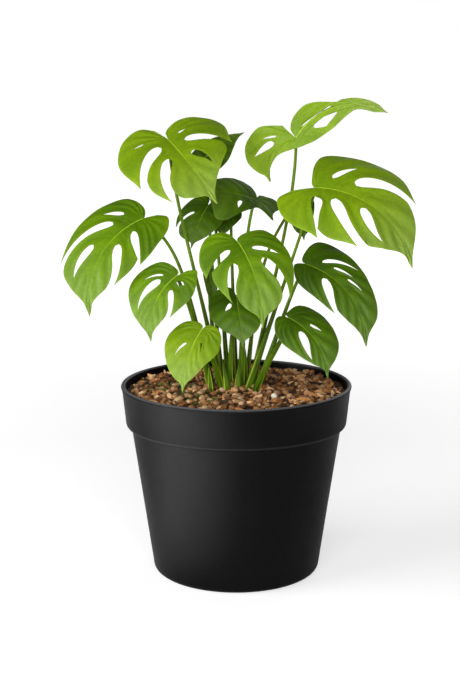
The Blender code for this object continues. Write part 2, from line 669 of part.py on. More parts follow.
def cut(obj, cutters):
    """Take the cutters out of the object."""
    boolean = obj.modifiers.new("holes", "BOOLEAN")
    boolean.operation = "DIFFERENCE"
    boolean.operand_type = "COLLECTION"
    boolean.collection = cutters
    boolean.solver = "MANIFOLD"


def crown_height(x, y):
    """Height of the substrate, a low mound under the stalks."""
    away = min(math.hypot(x, y) / inner_radius(SUBSTRATE_EDGE_HEIGHT), 1.0)
    return SUBSTRATE_EDGE_HEIGHT + (SUBSTRATE_CROWN_HEIGHT - SUBSTRATE_EDGE_HEIGHT) * (1 - away ** 2)


def substrate_points():
    """The filling of the pot: a rough top of bark lumps over a plain turned body."""
    random = np.random.default_rng(CHIP_SEED)
    edge = inner_radius(SUBSTRATE_EDGE_HEIGHT) - GAP
    heights = (SUBSTRATE_EDGE_HEIGHT - SHOULDER_RISE / 2, STEP_HEIGHT + SHOULDER_RISE, STEP_HEIGHT,
               FLOOR_THICKNESS + INNER_ROUNDING)
    rings = []
    points = []
    ring_count = int(edge / CHIP_PITCH)
    points.append((0.0, 0.0, crown_height(0, 0)))
    rings.append([0])
    for i in range(1, ring_count + 1):
        radius = edge * i / ring_count
        at_wall = i == ring_count
        count = POT_SEGMENTS if at_wall else max(6, int(2 * math.pi * radius / CHIP_PITCH))
        ring = []
        for k in range(count):
            angle = 2 * math.pi * k / count
            reach = radius
            height = SUBSTRATE_EDGE_HEIGHT
            if not at_wall:
                angle += random.uniform(-CHIP_SHIFT, CHIP_SHIFT) * CHIP_PITCH / radius
                reach += random.uniform(-CHIP_SHIFT, CHIP_SHIFT) * CHIP_PITCH
                height = crown_height(reach * math.cos(angle), reach * math.sin(angle))
                height += random.uniform(-CHIP_RELIEF, CHIP_RELIEF)
            ring.append(len(points))
            points.append((reach * math.cos(angle), reach * math.sin(angle), height))
        rings.append(ring)
    for height in heights:
        radius = inner_radius(height) - GAP
        ring = []
        for k in range(POT_SEGMENTS):
            angle = 2 * math.pi * k / POT_SEGMENTS
            ring.append(len(points))
            points.append((radius * math.cos(angle), radius * math.sin(angle), height))
        rings.append(ring)
    radius = inner_radius(FLOOR_THICKNESS) - INNER_ROUNDING
    ring = []
    for k in range(POT_SEGMENTS):
        angle = 2 * math.pi * k / POT_SEGMENTS
        ring.append(len(points))
        points.append((radius * math.cos(angle), radius * math.sin(angle), FLOOR_THICKNESS + GAP))
    rings.append(ring)
    rings.append([len(points)])
    points.append((0.0, 0.0, FLOOR_THICKNESS + GAP))
    return points, rings


def ring_angle(points, index):
    x, y, _ = points[index]
    return math.atan2(y, x) % (2 * math.pi)


def join_rings(points, inner, outer):
    """Triangles between two rings of unlike counts, both running anticlockwise."""
    faces = []
    if len(inner) == 1:
        return [(inner[0], a, b) for a, b in zip(outer, outer[1:] + outer[:1])]
    if len(outer) == 1:
        return [(a, outer[0], b) for a, b in zip(inner, inner[1:] + inner[:1])]
    first = sorted(inner, key=lambda k: ring_angle(points, k))
    second = sorted(outer, key=lambda k: ring_angle(points, k))
    i = 0
    j = 0
    while i < len(first) or j < len(second):
        next_i = ring_angle(points, first[i]) if i < len(first) else math.inf
        next_j = ring_angle(points, second[j]) if j < len(second) else math.inf
        if next_i <= next_j:
            faces.append((first[i - 1], second[j - 1], first[i]))
            i += 1
        else:
            faces.append((first[i - 1], second[j - 1], second[j]))
            j += 1
    return faces


def plain_material(name, colour, roughness):
    material = bpy.data.materials.new(name)
    material.use_nodes = True
    shader = material.node_tree.nodes["Principled BSDF"]
    shader.inputs["Base Color"].default_value = (*colour, 1.0)
    shader.inputs["Roughness"].default_value = roughness
    shader.inputs["Metallic"].default_value = 0.0
    return material


def main():
    for obj in list(bpy.data.objects):
        bpy.data.objects.remove(obj)
    plant = bpy.data.collections.new("potted_mini_monstera")
    bpy.context.scene.collection.children.link(plant)
    cutters = bpy.data.collections.new("cutters")
    bpy.context.scene.collection.children.link(cutters)
    cutters.hide_render = True

    black_plastic = plain_material("black_plastic", (0.02, 0.02, 0.022), 0.45)
    bark = plain_material("bark", (0.22, 0.12, 0.07), 0.9)
    leaf_green = {
        "bright": plain_material("leaf_bright", (0.26, 0.45, 0.05), 0.35),
        "mid": plain_material("leaf_mid", (0.16, 0.34, 0.03), 0.35),
        "deep": plain_material("leaf_deep", (0.08, 0.22, 0.02), 0.35),
    }
    stalk_green = plain_material("stalk_green", (0.14, 0.30, 0.03), 0.35)

    drains = bpy.data.collections.new("drain_cutters")
    cutters.children.link(drains)
    for k in range(DRAIN_HOLES):
        angle = 2 * math.pi * k / DRAIN_HOLES
        path = np.array([(DRAIN_RING_RADIUS * math.cos(angle), DRAIN_RING_RADIUS * math.sin(angle), z)
                         for z in (-2.0, FLOOR_THICKNESS + 2.0)])
        tube("drain_cutter_%d" % (k + 1), path, [DRAIN_RADIUS] * 2, drains, None)
    pot = turned("pot", pot_profile(), plant, black_plastic)
    cut(pot, drains)
    apply_modifiers(pot)

    stems = [(leaf.name + "_stalk", *stalk_path(leaf)) for leaf in LEAVES]
    stems += [("shoot_" + shoot.name, *shoot_path(shoot)) for shoot in SHOOTS]
    holes = bpy.data.collections.new("hole_cutters")
    cutters.children.link(holes)
    for name, path, radii in stems:
        tube(name, path, radii, plant, stalk_green)
        low = path[:, 2] < SUBSTRATE_CROWN_HEIGHT + HOLE_CLEARANCE
        low[int(low.sum())] = True
        lengthened = path[low].copy()
        lengthened[0] += unit(path[0] - path[1]) * GAP
        tube(name + "_hole", lengthened, radii[low] + GAP, holes, None)

    points, rings = substrate_points()
    faces = []
    for inner, outer in zip(rings, rings[1:]):
        faces += join_rings(points, inner, outer)
    substrate = add_mesh("substrate", [np.array(p) * MM for p in points], faces, plant, bark)
    cut(substrate, holes)
    apply_modifiers(substrate)

    for leaf in LEAVES:
        points, faces = blade_points(leaf)
        blade = add_mesh(leaf.name + "_blade", points, faces, plant, leaf_green[leaf.colour])
        for face in blade.data.polygons:
            face.use_smooth = True
        solid = blade.modifiers.new("thickness", "SOLIDIFY")
        solid.thickness = BLADE_THICKNESS * MM
        solid.offset = 0.0

    for collection in (drains, holes):
        for obj in list(collection.objects):
            bpy.data.objects.remove(obj)
        bpy.data.collections.remove(collection)
    bpy.data.collections.remove(cutters)


main()
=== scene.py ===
# %% [markdown]
# A mini monstera in its black pot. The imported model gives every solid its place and
# size. This script dresses it: a smooth turned pot, a bed of bark and pebbles, leaf
# blades with pleats, veins and cut edges, grooved stalks with their sheaths, and young
# shoots. It could also be one big sculpted mesh, but separate pieces keep each finish
# and each shape easy to change.

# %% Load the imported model
import math
from collections import namedtuple

import bmesh
import bpy
import numpy as np
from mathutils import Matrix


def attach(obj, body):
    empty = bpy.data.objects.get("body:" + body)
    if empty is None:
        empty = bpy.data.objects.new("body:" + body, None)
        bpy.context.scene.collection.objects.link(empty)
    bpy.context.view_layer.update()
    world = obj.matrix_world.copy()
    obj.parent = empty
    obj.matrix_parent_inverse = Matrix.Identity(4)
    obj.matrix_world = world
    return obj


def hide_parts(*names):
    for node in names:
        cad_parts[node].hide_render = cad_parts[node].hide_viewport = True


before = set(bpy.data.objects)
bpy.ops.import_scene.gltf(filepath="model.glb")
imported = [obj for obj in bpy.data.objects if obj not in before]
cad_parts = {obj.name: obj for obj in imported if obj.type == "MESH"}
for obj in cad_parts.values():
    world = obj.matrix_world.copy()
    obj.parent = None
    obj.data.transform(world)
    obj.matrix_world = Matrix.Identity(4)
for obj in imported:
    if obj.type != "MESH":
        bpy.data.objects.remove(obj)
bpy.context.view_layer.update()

MM = 0.001

# %% [markdown]
# The camera comes first, because every later choice is judged through it. The picture
# looks down on the pot a little, from far away, so its lens is long. A short lens close
# by would also frame the plant, but it would swell the near leaves.

# %% Camera
CAMERA_DISTANCE = 1.0
CAMERA_HEIGHT = 0.37086
CAMERA_DOWN = 11.23
CAMERA_LENS = 73.15
CAMERA_SIDE_SHIFT = -0.0092

lens = bpy.data.cameras.new("camera")
lens.lens = CAMERA_LENS
lens.shift_x = CAMERA_SIDE_SHIFT
camera = bpy.data.objects.new("camera", lens)
camera.location = (0.0, -CAMERA_DISTANCE, CAMERA_HEIGHT)
camera.rotation_euler = (math.radians(90.0 - CAMERA_DOWN), 0.0, 0.0)
bpy.context.scene.collection.objects.link(camera)
bpy.context.scene.camera = camera
print("camera looks down by", CAMERA_DOWN, "degrees")

# %% [markdown]
# The studio is a pale floor, a white backdrop and soft lamps. The backdrop shows white
# but lights the plant only dimly, so that the tops of the leaves stay deep green. An
# evenly bright room would wash them out. The floor has a faint glow for the camera
# alone, and beside the pot a pool of light that only reflections see. Black plastic
# shows little but reflections, so the pool is what draws the broad gleam down its left
# side. A lamp could make it too, but it would also bleach the leaves.

# %% Helpers for meshes and nodes


def shader_node(tree, kind, inputs, **settings):
    """A shader node with its settings, and with its inputs set or linked."""
    made = tree.nodes.new("ShaderNode" + kind)
    for name, value in settings.items():
        setattr(made, name, value)
    for key, value in inputs.items():
        if isinstance(value, bpy.types.NodeSocket):
            tree.links.new(value, made.inputs[key])
        else:
            made.inputs[key].default_value = value
    return made


def new_mesh(name, points, faces, smooth):
    """A mesh object from points in metres."""
    mesh = bpy.data.meshes.new(name)
    mesh.from_pydata([tuple(p) for p in points], [], [tuple(f) for f in faces])
    mesh.polygons.foreach_set("use_smooth", [smooth] * len(mesh.polygons))
    mesh.update()
    obj = bpy.data.objects.new(name, mesh)
    bpy.context.scene.collection.objects.link(obj)
    return obj


def calc(tree, operation, first, second=0.0):
    """One step of arithmetic in a shader."""
    return shader_node(tree, "Math", {0: first, 1: second}, operation=operation).outputs[0]


def ranged(tree, value, low, high, to_low, to_high, blend="SMOOTHSTEP"):
    """The value turned from the range low to high into another range."""
    node = shader_node(tree, "MapRange", {"Value": value, "From Min": low, "From Max": high,
                                          "To Min": to_low, "To Max": to_high},
                       interpolation_type=blend)
    return node.outputs["Result"]


bpy.context.scene.view_settings.view_transform = "Standard"
print("colours are shown as they are:", bpy.context.scene.view_settings.view_transform)

# %% Floor
FLOOR_RADIUS = 6.0
FLOOR_CORNERS = 96
FLOOR_GREY = 0.7
FLOOR_ROUGHNESS = 0.9
GLOW_NEAR, GLOW_FAR = 0.57, 1.0
GLOW_STARTS, GLOW_ENDS = 0.4, 2.0  # metres from the pot
POOL_PLACE = (-0.235, -0.2, 0.0)
POOL_GLOW = 4.1
POOL_CORE, POOL_RADIUS = 0.1, 0.24  # metres
WHITE = (1.0, 1.0, 1.0, 1.0)

corners = [(FLOOR_RADIUS * math.cos(t), FLOOR_RADIUS * math.sin(t), 0.0)
           for t in np.linspace(0.0, 2 * math.pi, FLOOR_CORNERS, endpoint=False)]
floor = new_mesh("floor", corners, [range(FLOOR_CORNERS)], False)
floor_paint = bpy.data.materials.new("pale_floor")
floor_paint.use_nodes = True
tree = floor_paint.node_tree
paint = tree.nodes["Principled BSDF"].inputs
paint["Base Color"].default_value = (FLOOR_GREY, FLOOR_GREY, FLOOR_GREY, 1.0)
paint["Roughness"].default_value = FLOOR_ROUGHNESS
paint["Emission Color"].default_value = WHITE
spot = shader_node(tree, "TexCoord", {}).outputs["Object"]
away = shader_node(tree, "VectorMath", {0: spot}, operation="LENGTH").outputs["Value"]
off_pool = shader_node(tree, "VectorMath", {0: spot, 1: POOL_PLACE}, operation="DISTANCE").outputs["Value"]
ray = shader_node(tree, "LightPath", {}).outputs
glow = ranged(tree, away, GLOW_STARTS, GLOW_ENDS, GLOW_NEAR, GLOW_FAR, "LINEAR")
pool = ranged(tree, off_pool, POOL_CORE, POOL_RADIUS, POOL_GLOW, 0.0, "LINEAR")
tree.links.new(calc(tree, "ADD", calc(tree, "MULTIPLY", glow, ray["Is Camera Ray"]),
                    calc(tree, "MULTIPLY", pool, ray["Is Glossy Ray"])), paint["Emission Strength"])
floor.data.materials.append(floor_paint)
print("floor", 2 * FLOOR_RADIUS, "m across, with a pool of light", POOL_RADIUS, "m in radius")

# %% Surround
BACKDROP_WHITE = 1.0
SURROUND_LOW, SURROUND_HIGH = 0.28, 0.07
SURROUND_HIGH_FROM = 0.6  # how far up a direction points
SURROUND_BEHIND = 0.8
BEHIND_STARTS, BEHIND_ENDS = -0.4, 0.6

surround = bpy.data.worlds.new("surround")
surround.use_nodes = True
bpy.context.scene.world = surround
tree = surround.node_tree
direction = shader_node(tree, "TexCoord", {}).outputs["Generated"]
way = shader_node(tree, "SeparateXYZ", {"Vector": direction}).outputs
light = calc(tree, "MULTIPLY",
             ranged(tree, way["Z"], 0.0, SURROUND_HIGH_FROM, SURROUND_LOW, SURROUND_HIGH, "LINEAR"),
             ranged(tree, way["Y"], BEHIND_STARTS, BEHIND_ENDS, 1.0, SURROUND_BEHIND, "LINEAR"))
seen = shader_node(tree, "LightPath", {}).outputs["Is Camera Ray"]
shown = shader_node(tree, "Mix", {"Factor": seen, "A": light, "B": BACKDROP_WHITE}, data_type="FLOAT")
backdrop = tree.nodes["Background"].inputs
tree.links.new(shown.outputs[0], backdrop["Strength"])
backdrop["Color"].default_value = WHITE
print("surround from", SURROUND_HIGH, "above to", SURROUND_LOW, "low in front")

# %% [markdown]
# A lamp's softness comes from its size, so these are wide panels. One on the left and one
# in front share the main light, and a weak one behind parts the leaves from each other.
# Small bright lamps would leave hard white patches on leaves that are seen edge-on.

# %% Lamps
LAMP_AIM = np.array([0.0, 0.0, 0.2])


def panel_lamp(name, place, size, power):
    """A square soft box that looks at the middle of the plant."""
    lamp = bpy.data.lights.new(name, "AREA")
    lamp.size = size
    lamp.energy = power
    obj = bpy.data.objects.new(name, lamp)
    obj.location = place
    way = LAMP_AIM - np.array(place)
    obj.rotation_euler = (math.atan2(math.hypot(way[0], way[1]), -way[2]), 0.0,
                          math.atan2(way[1], way[0]) - math.pi / 2)
    bpy.context.scene.collection.objects.link(obj)
    print(name, "stands", round(float(np.linalg.norm(way)), 2), "m away")
    return obj


panel_lamp("front_lamp", (-0.1, -2.0, 0.7), size=1.6, power=41.0)
panel_lamp("side_lamp", (-1.75, -0.65, 0.75), size=1.4, power=33.0)
panel_lamp("back_lamp", (0.9, 1.8, 1.0), size=1.4, power=8.0)

# %% [markdown]
# A finish is built from nodes. These helpers keep each material short: one reads a
# colour, one mixes two, one makes a bump, and two make and place a group, which is a
# small tree with its own inputs and outputs that several materials share.

# %% Helpers for finishes


def srgb(red, green, blue):
    """A colour as a picture gives it, 0 to 255, in Blender's linear numbers."""
    return tuple(((c / 255 + 0.055) / 1.055) ** 2.4 if c > 10 else c / 255 / 12.92
                 for c in (red, green, blue)) + (1.0,)


def mixed(tree, share, first, second, kind="MIX"):
    """Two colours mixed: share 0 gives the first, 1 the second."""
    node = shader_node(tree, "Mix", {0: share, 6: first, 7: second},
                       data_type="RGBA", blend_type=kind)
    return node.outputs[2]


def new_group(name, inputs, outputs):
    """An empty shader group. inputs and outputs are (name, kind) pairs."""
    tree = bpy.data.node_groups.new(name, "ShaderNodeTree")
    for label, kind in inputs:
        tree.interface.new_socket(label, in_out="INPUT", socket_type="NodeSocket" + kind)
    for label, kind in outputs:
        tree.interface.new_socket(label, in_out="OUTPUT", socket_type="NodeSocket" + kind)
    return tree, tree.nodes.new("NodeGroupInput").outputs, tree.nodes.new("NodeGroupOutput").inputs


def use_group(tree, group, inputs):
    """The outputs of a group placed in this tree with its own inputs."""
    return shader_node(tree, "Group", inputs, node_tree=group).outputs


def bumped(tree, skin, height, strength, depth):
    """Let a height roughen the surface. Depth is in metres."""
    bump = shader_node(tree, "Bump", {"Height": height, "Strength": strength, "Distance": depth})
    tree.links.new(bump.outputs["Normal"], skin["Normal"])


def new_material(name, roughness=0.5, specular=0.5):
    """A material with its tree, the inputs of its shader and its own coordinates."""
    material = bpy.data.materials.new(name)
    material.use_nodes = True
    tree = material.node_tree
    skin = tree.nodes["Principled BSDF"].inputs
    skin["Roughness"].default_value = roughness
    skin["Specular IOR Level"].default_value = specular
    place = shader_node(tree, "TexCoord", {}).outputs["Object"]
    return material, tree, skin, place


print("finish helpers ready")

# %% [markdown]
# Real surfaces are never even. Two groups serve several finishes here: one gives soft
# patches for colour and gloss, and one gives a fine grain, mostly for bumps.
# Both read a place in metres, so their scale is real. Painting a picture for each would
# look alike, but noise nodes need no file and stay sharp from any distance.

# %% Shared effects: patches and grain
CLOUD_RANGE = (0.3, 0.7)  # nearly all values of the noise lie between these

patches, given, gives = new_group(
    "soft_patches", [("Place", "Vector"), ("Patches per metre", "Float"), ("Least", "Float"),
                     ("Most", "Float")], [("Amount", "Float")])
cloud = shader_node(patches, "TexNoise", {"Vector": given["Place"], "Scale": given["Patches per metre"],
                                          "Detail": 3.0}).outputs["Fac"]
patches.links.new(ranged(patches, cloud, *CLOUD_RANGE, given["Least"], given["Most"], "LINEAR"),
                  gives["Amount"])

grain, given, gives = new_group("fine_grain", [("Place", "Vector"), ("Grains per metre", "Float")],
                                [("Height", "Float")])
speck = shader_node(grain, "TexNoise", {"Vector": given["Place"], "Scale": given["Grains per metre"],
                                        "Detail": 2.0, "Roughness": 0.6})
grain.links.new(speck.outputs["Fac"], gives["Height"])


def patchy(tree, place, per_metre, least, most):
    """Soft patches between two values."""
    return use_group(tree, patches, {"Place": place, "Patches per metre": per_metre, "Least": least,
                                     "Most": most})["Amount"]


def grainy(tree, place, per_metre):
    """The height of a fine grain, from 0 to 1."""
    return use_group(tree, grain, {"Place": place, "Grains per metre": per_metre})["Height"]


print("groups:", [g.name for g in bpy.data.node_groups])

# %% [markdown]
# The pot is moulded plastic, so it is a solid of revolution: one half section turned
# round the axis by a Screw modifier. Its drain holes are cut with a Boolean. A lathe
# shape from a curve would do as well, but a section in millimetres can be checked
# against the solid, and here it is the same one with more steps and softer corners.

# %% Pot section
RIM_RADIUS = 85.0
RIM_HEIGHT = 141.5
BASE_RADIUS = 61.4
BASE_ROUNDING = 5.0
FLOOR_THICKNESS = 3.0
WALL = 2.4
STEP_FILLET = 0.7
INNER_ROUNDING = 3.0
SHOULDER_RISE = 6.0
BODY_TOP_RADIUS = 77.6
BODY_BANDS = 4
STEP_HEIGHT = 110.8
COLLAR_FOOT_RADIUS = 81.6
COLLAR_FOOT_ROUNDING = 2.5
LIP_DEPTH = 2.4
LIP_OVERHANG = 0.8
LIP_CURVE = ((0.25, 0.0), (0.6, 0.55), (1.0, 1.0))  # shares of the overhang: in, down
RIM_WIDTH = 3.4
STEP_TURN = 86  # degrees, a little short of square
WALL_LEAN = 8  # degrees
POT_STEPS = 168


def arc(centre, radius, start, end, steps):
    """Points of a circular arc of the section, angles in degrees."""
    turns = np.radians(np.linspace(start, end, steps))
    return [(centre[0] + radius * math.cos(t), centre[1] + radius * math.sin(t)) for t in turns]


def pot_section():
    """Half section at +X: down the outer side, across the base, up the inside."""
    top = RIM_HEIGHT
    edge = RIM_WIDTH / 2
    slope = (BODY_TOP_RADIUS - BASE_RADIUS) / STEP_HEIGHT
    foot = COLLAR_FOOT_ROUNDING
    points = arc((RIM_RADIUS - edge, top - edge), edge, 90, 0, 9)
    points += [(RIM_RADIUS - LIP_OVERHANG * inward, top - LIP_DEPTH - LIP_OVERHANG * down)
               for inward, down in LIP_CURVE]
    points += arc((COLLAR_FOOT_RADIUS - foot, STEP_HEIGHT + foot), foot, 0, -STEP_TURN, 9)
    points += arc((BODY_TOP_RADIUS + STEP_FILLET, STEP_HEIGHT - STEP_FILLET), STEP_FILLET,
                  90, 90 + STEP_TURN, 5)
    points += [(BODY_TOP_RADIUS - slope * STEP_HEIGHT * k / BODY_BANDS,
                STEP_HEIGHT * (1 - k / BODY_BANDS)) for k in range(1, BODY_BANDS)]
    points += arc((BASE_RADIUS + slope * BASE_ROUNDING - BASE_ROUNDING, BASE_ROUNDING),
                  BASE_ROUNDING, -WALL_LEAN, -90, 10)
    points += [(0.0, 0.0), (0.0, FLOOR_THICKNESS)]
    inner = BASE_RADIUS - WALL
    points += arc((inner - INNER_ROUNDING, FLOOR_THICKNESS + INNER_ROUNDING), INNER_ROUNDING, -90, 0, 6)
    points += [(BODY_TOP_RADIUS - WALL, STEP_HEIGHT),
               (COLLAR_FOOT_RADIUS - WALL, STEP_HEIGHT + SHOULDER_RISE),
               (RIM_RADIUS - RIM_WIDTH, top - SHOULDER_RISE / 2)]
    points += arc((RIM_RADIUS - edge, top - edge), edge, 180, 90, 9)[:-1]
    return points


section = pot_section()
print("pot section:", len(section), "points,", round(max(p[0] for p in section), 1), "mm to the rim")

# %% Turn the pot and cut its drain holes
DRAIN_HOLES = 6
DRAIN_RADIUS = 4.0
DRAIN_RING_RADIUS = 34.0
DRAIN_SIDES = 24
WELD = 0.00005


def apply_modifiers(obj):
    """Keep the object's evaluated shape as its mesh."""
    bpy.context.view_layer.update()
    mesh = bpy.data.meshes.new_from_object(obj.evaluated_get(bpy.context.evaluated_depsgraph_get()))
    obj.modifiers.clear()
    obj.data = mesh


pot = new_mesh("pot_body", [], [], True)
pot.data.from_pydata([(x * MM, 0.0, z * MM) for x, z in section],
                     [(i, (i + 1) % len(section)) for i in range(len(section))], [])
turn = pot.modifiers.new("turn", "SCREW")
turn.steps = turn.render_steps = POT_STEPS
turn.use_merge_vertices = True
turn.merge_threshold = WELD
turn.use_smooth_shade = True
apply_modifiers(pot)

for k in range(DRAIN_HOLES):
    angle = 2 * math.pi * k / DRAIN_HOLES
    shape = bmesh.new()
    bmesh.ops.create_cone(shape, cap_ends=True, segments=DRAIN_SIDES, radius1=DRAIN_RADIUS * MM,
                          radius2=DRAIN_RADIUS * MM, depth=4 * FLOOR_THICKNESS * MM)
    bmesh.ops.translate(shape, verts=shape.verts,
                        vec=(DRAIN_RING_RADIUS * MM * math.cos(angle),
                             DRAIN_RING_RADIUS * MM * math.sin(angle), FLOOR_THICKNESS / 2 * MM))
    cutter = new_mesh("drain_cutter", [], [], False)
    shape.to_mesh(cutter.data)
    shape.free()
    hole = pot.modifiers.new("drain", "BOOLEAN")
    hole.object = cutter
    hole.solver = "EXACT"
    apply_modifiers(pot)
    bpy.data.objects.remove(cutter)
for edge in pot.data.edges:
    edge.use_edge_sharp = False
print("pot faces:", len(pot.data.polygons))

# %% [markdown]
# Black plastic isn't black paint. Its moulded skin has a fine grain that spreads the
# highlights, and its gloss changes a little from place to place where it was handled.
# The grain is a bump, because real grain is far finer than any mesh. The top of the lip
# and the foot of the collar get a painted highlight, a thin grey line where light gleams,
# so they get masks by height.

# %% Black plastic
POT_BLACK = srgb(5, 5, 6)
# The grey of the painted highlight on the lip and at the foot of the collar.
HIGHLIGHT_GREY = srgb(84, 84, 86)
LIP_TOP = (0.1402, 0.1412)  # heights in metres
COLLAR_EDGE = 0.1124
COLLAR_EDGE_HALF = (0.0003, 0.0011)
COLLAR_EDGE_SHARE = 0.15
GLOSS_PATCHES = (45.0, 0.21, 0.3)  # per metre, least and most roughness
SKIN_GRAINS = 1100.0
GRAIN_IN_GLOSS = 0.25

plastic, tree, skin, place = new_material("black_plastic", specular=0.13)
level = shader_node(tree, "SeparateXYZ", {0: place}).outputs["Z"]
on_lip = ranged(tree, level, *LIP_TOP, 0.0, 1.0)
off_edge = calc(tree, "ABSOLUTE", calc(tree, "SUBTRACT", level, COLLAR_EDGE))
on_edge = ranged(tree, off_edge, *COLLAR_EDGE_HALF, 1.0, 0.0)
# Painted highlight: grey on the top of the lip and at the foot of the collar stands in for light gleaming
# there.
painted_highlight = calc(tree, "MAXIMUM", on_lip, calc(tree, "MULTIPLY", on_edge, COLLAR_EDGE_SHARE))
tree.links.new(mixed(tree, painted_highlight, POT_BLACK, HIGHLIGHT_GREY), skin["Base Color"])
grit = grainy(tree, place, SKIN_GRAINS)
tree.links.new(calc(tree, "ADD", patchy(tree, place, *GLOSS_PATCHES),
                    calc(tree, "MULTIPLY", grit, GRAIN_IN_GLOSS)), skin["Roughness"])
bumped(tree, skin, grit, strength=0.7, depth=0.0003)


def finish_piece(obj, material, slot, *nodes):
    """Give a piece its finish and its place in the frame."""
    obj.data.materials.clear()
    obj.data.materials.append(material)
    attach(obj, "root")
    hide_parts(*nodes)


finish_piece(pot, plastic, "black_plastic", "pot")
print("pot dressed in", plastic.name)

# %% [markdown]
# The pot is filled with coarse bark. Some rounded pebbles lie in front, moss grows on two
# spots, and one pale grain stands out. A flat disc with a bumpy texture would look like
# carpet from the side, so the bed is a mesh with real lumps, and hundreds of chips lie on
# it. Each chip is the hull of a few random points, squashed flat, which is how bark
# breaks. They are joined into one mesh, with a colour for each.

# %% Bed of substrate
EDGE_HEIGHT = 137.0
CROWN_HEIGHT = 141.0
BED_GAP = 0.3
BED_RINGS = 54
BED_SEGMENTS = 168
BED_DROP = 1.6
LUMP = 1.1
LUMP_SIZES = (1.2, 3.5)
LUMP_SHIFT = 6.0
LUMP_WAVES = 9
BED_SEED = 21


def inner_radius(height):
    """Radius of the pot's inner wall at this height."""
    heights = (FLOOR_THICKNESS + INNER_ROUNDING, STEP_HEIGHT, STEP_HEIGHT + SHOULDER_RISE,
               RIM_HEIGHT - SHOULDER_RISE / 2)
    radii = (BASE_RADIUS - WALL, BODY_TOP_RADIUS - WALL, COLLAR_FOOT_RADIUS - WALL,
             RIM_RADIUS - RIM_WIDTH)
    return float(np.interp(height, heights, radii))


def crown(x, y):
    """Height of the substrate, a low mound under the stalks."""
    away = min(math.hypot(x, y) / inner_radius(EDGE_HEIGHT), 1.0)
    return EDGE_HEIGHT + (CROWN_HEIGHT - EDGE_HEIGHT) * (1 - away ** 2)


def lumps(x, y, random_turns):
    """Smooth seeded bumps, between about -1 and 1."""
    total = 0.0
    for size, turn, shift in random_turns:
        total += math.sin((x * math.cos(turn) + y * math.sin(turn)) / size + shift)
    return total / math.sqrt(len(random_turns))


def ring_points(radius, height_at):
    """One ring of the bed, at the heights that height_at gives."""
    turns = [2 * math.pi * k / BED_SEGMENTS for k in range(BED_SEGMENTS)]
    return [(radius * math.cos(t), radius * math.sin(t),
             height_at(radius * math.cos(t), radius * math.sin(t))) for t in turns]


random = np.random.default_rng(BED_SEED)
waves = [(random.uniform(*LUMP_SIZES), random.uniform(0, math.pi), random.uniform(0, LUMP_SHIFT))
         for _ in range(LUMP_WAVES)]


def bed_height(x, y):
    """Height of the bed under the chips."""
    return crown(x, y) - BED_DROP + LUMP * lumps(x, y, waves)


edge_radius = inner_radius(EDGE_HEIGHT) - BED_GAP
points = [(0.0, 0.0, CROWN_HEIGHT - BED_DROP)]
for i in range(1, BED_RINGS + 1):
    points += ring_points(edge_radius * i / BED_RINGS, bed_height)
for low in (STEP_HEIGHT + SHOULDER_RISE, STEP_HEIGHT, FLOOR_THICKNESS + INNER_ROUNDING):
    points += ring_points(inner_radius(low) - BED_GAP, lambda x, y: low)
points += ring_points(inner_radius(0.0) - INNER_ROUNDING, lambda x, y: FLOOR_THICKNESS + BED_GAP)
faces = [(0, 1 + k, 1 + (k + 1) % BED_SEGMENTS) for k in range(BED_SEGMENTS)]
ring_total = (len(points) - 1) // BED_SEGMENTS
for i in range(ring_total - 1):
    a, b = 1 + i * BED_SEGMENTS, 1 + (i + 1) * BED_SEGMENTS
    for k in range(BED_SEGMENTS):
        m = (k + 1) % BED_SEGMENTS
        faces.append((a + k, b + k, b + m, a + m))
last = 1 + (ring_total - 1) * BED_SEGMENTS
faces.append(tuple(last + k for k in reversed(range(BED_SEGMENTS))))
bed = new_mesh("substrate_bed", np.array(points) * MM, faces, True)
print("bed rings:", ring_total, "edge radius", round(edge_radius, 1), "mm")

# %% Kinds of grain
Grain = namedtuple("Grain", "place size turn colour")
Kind = namedtuple("Kind", "count lengths widths heights lifts tilt wall_gap raised")
CRUMB = Kind(1000, (1.0, 2.0), (0.35, 0.7), (0.24, 0.45), (-0.6, 0.2), 0.7, 0.4, 0.5)
CHIP = Kind(940, (2.6, 6.8), (0.35, 0.7), (0.24, 0.45), (-0.4, 1.4), 0.55, 0.4, 0.5)
PEBBLE = Kind(84, (1.6, 3.3), (0.75, 0.95), (0.6, 0.8), (0.4, 1.6), 0.4, 0.6, 0.8)
CHIP_SHAPES, CHIP_CORNERS, CHIP_ROUNDNESS = 14, 11, 0.5
PEBBLE_SHAPES, PEBBLE_CORNERS, PEBBLE_ROUNDNESS = 8, 60, 0.93
CHIP_TONES, PEBBLE_TONES = 0.3, 0.12
DARK_BARKS = 3  # the first of the bark colours, for the crumbs
CLEAR_OF_STALKS = 3.2
PEBBLE_MIDDLE = np.array([-12.0, -40.0])
PEBBLE_SPREAD = np.array([50.0, 34.0])
MOSS_COLOUR = srgb(98, 92, 30)
MOSS_SPOTS = np.array([(-22.0, -43.0), (-42.0, -14.0)])
MOSS_REACH = 22.0
MOSS_SHARE = 1.2
CREAM_SPOT = (27.0, -43.1)
CREAM_RADIUS = 2.6
CREAM_LIFT = 1.0
CREAM_SHAPE = np.array([1.1, 1.0, 0.8])
CREAM_COLOUR = srgb(236, 226, 206)

BARK_COLOURS = [srgb(96, 56, 22), srgb(138, 88, 42), srgb(180, 124, 70), srgb(204, 152, 98),
                srgb(228, 182, 132), srgb(156, 104, 52)]
PEBBLE_COLOURS = [srgb(184, 142, 96), srgb(158, 114, 72), srgb(196, 160, 116), srgb(138, 96, 58)]
print("colours:", len(BARK_COLOURS), "of bark and", len(PEBBLE_COLOURS), "of pebbles")

# %% A grain, and many as one mesh


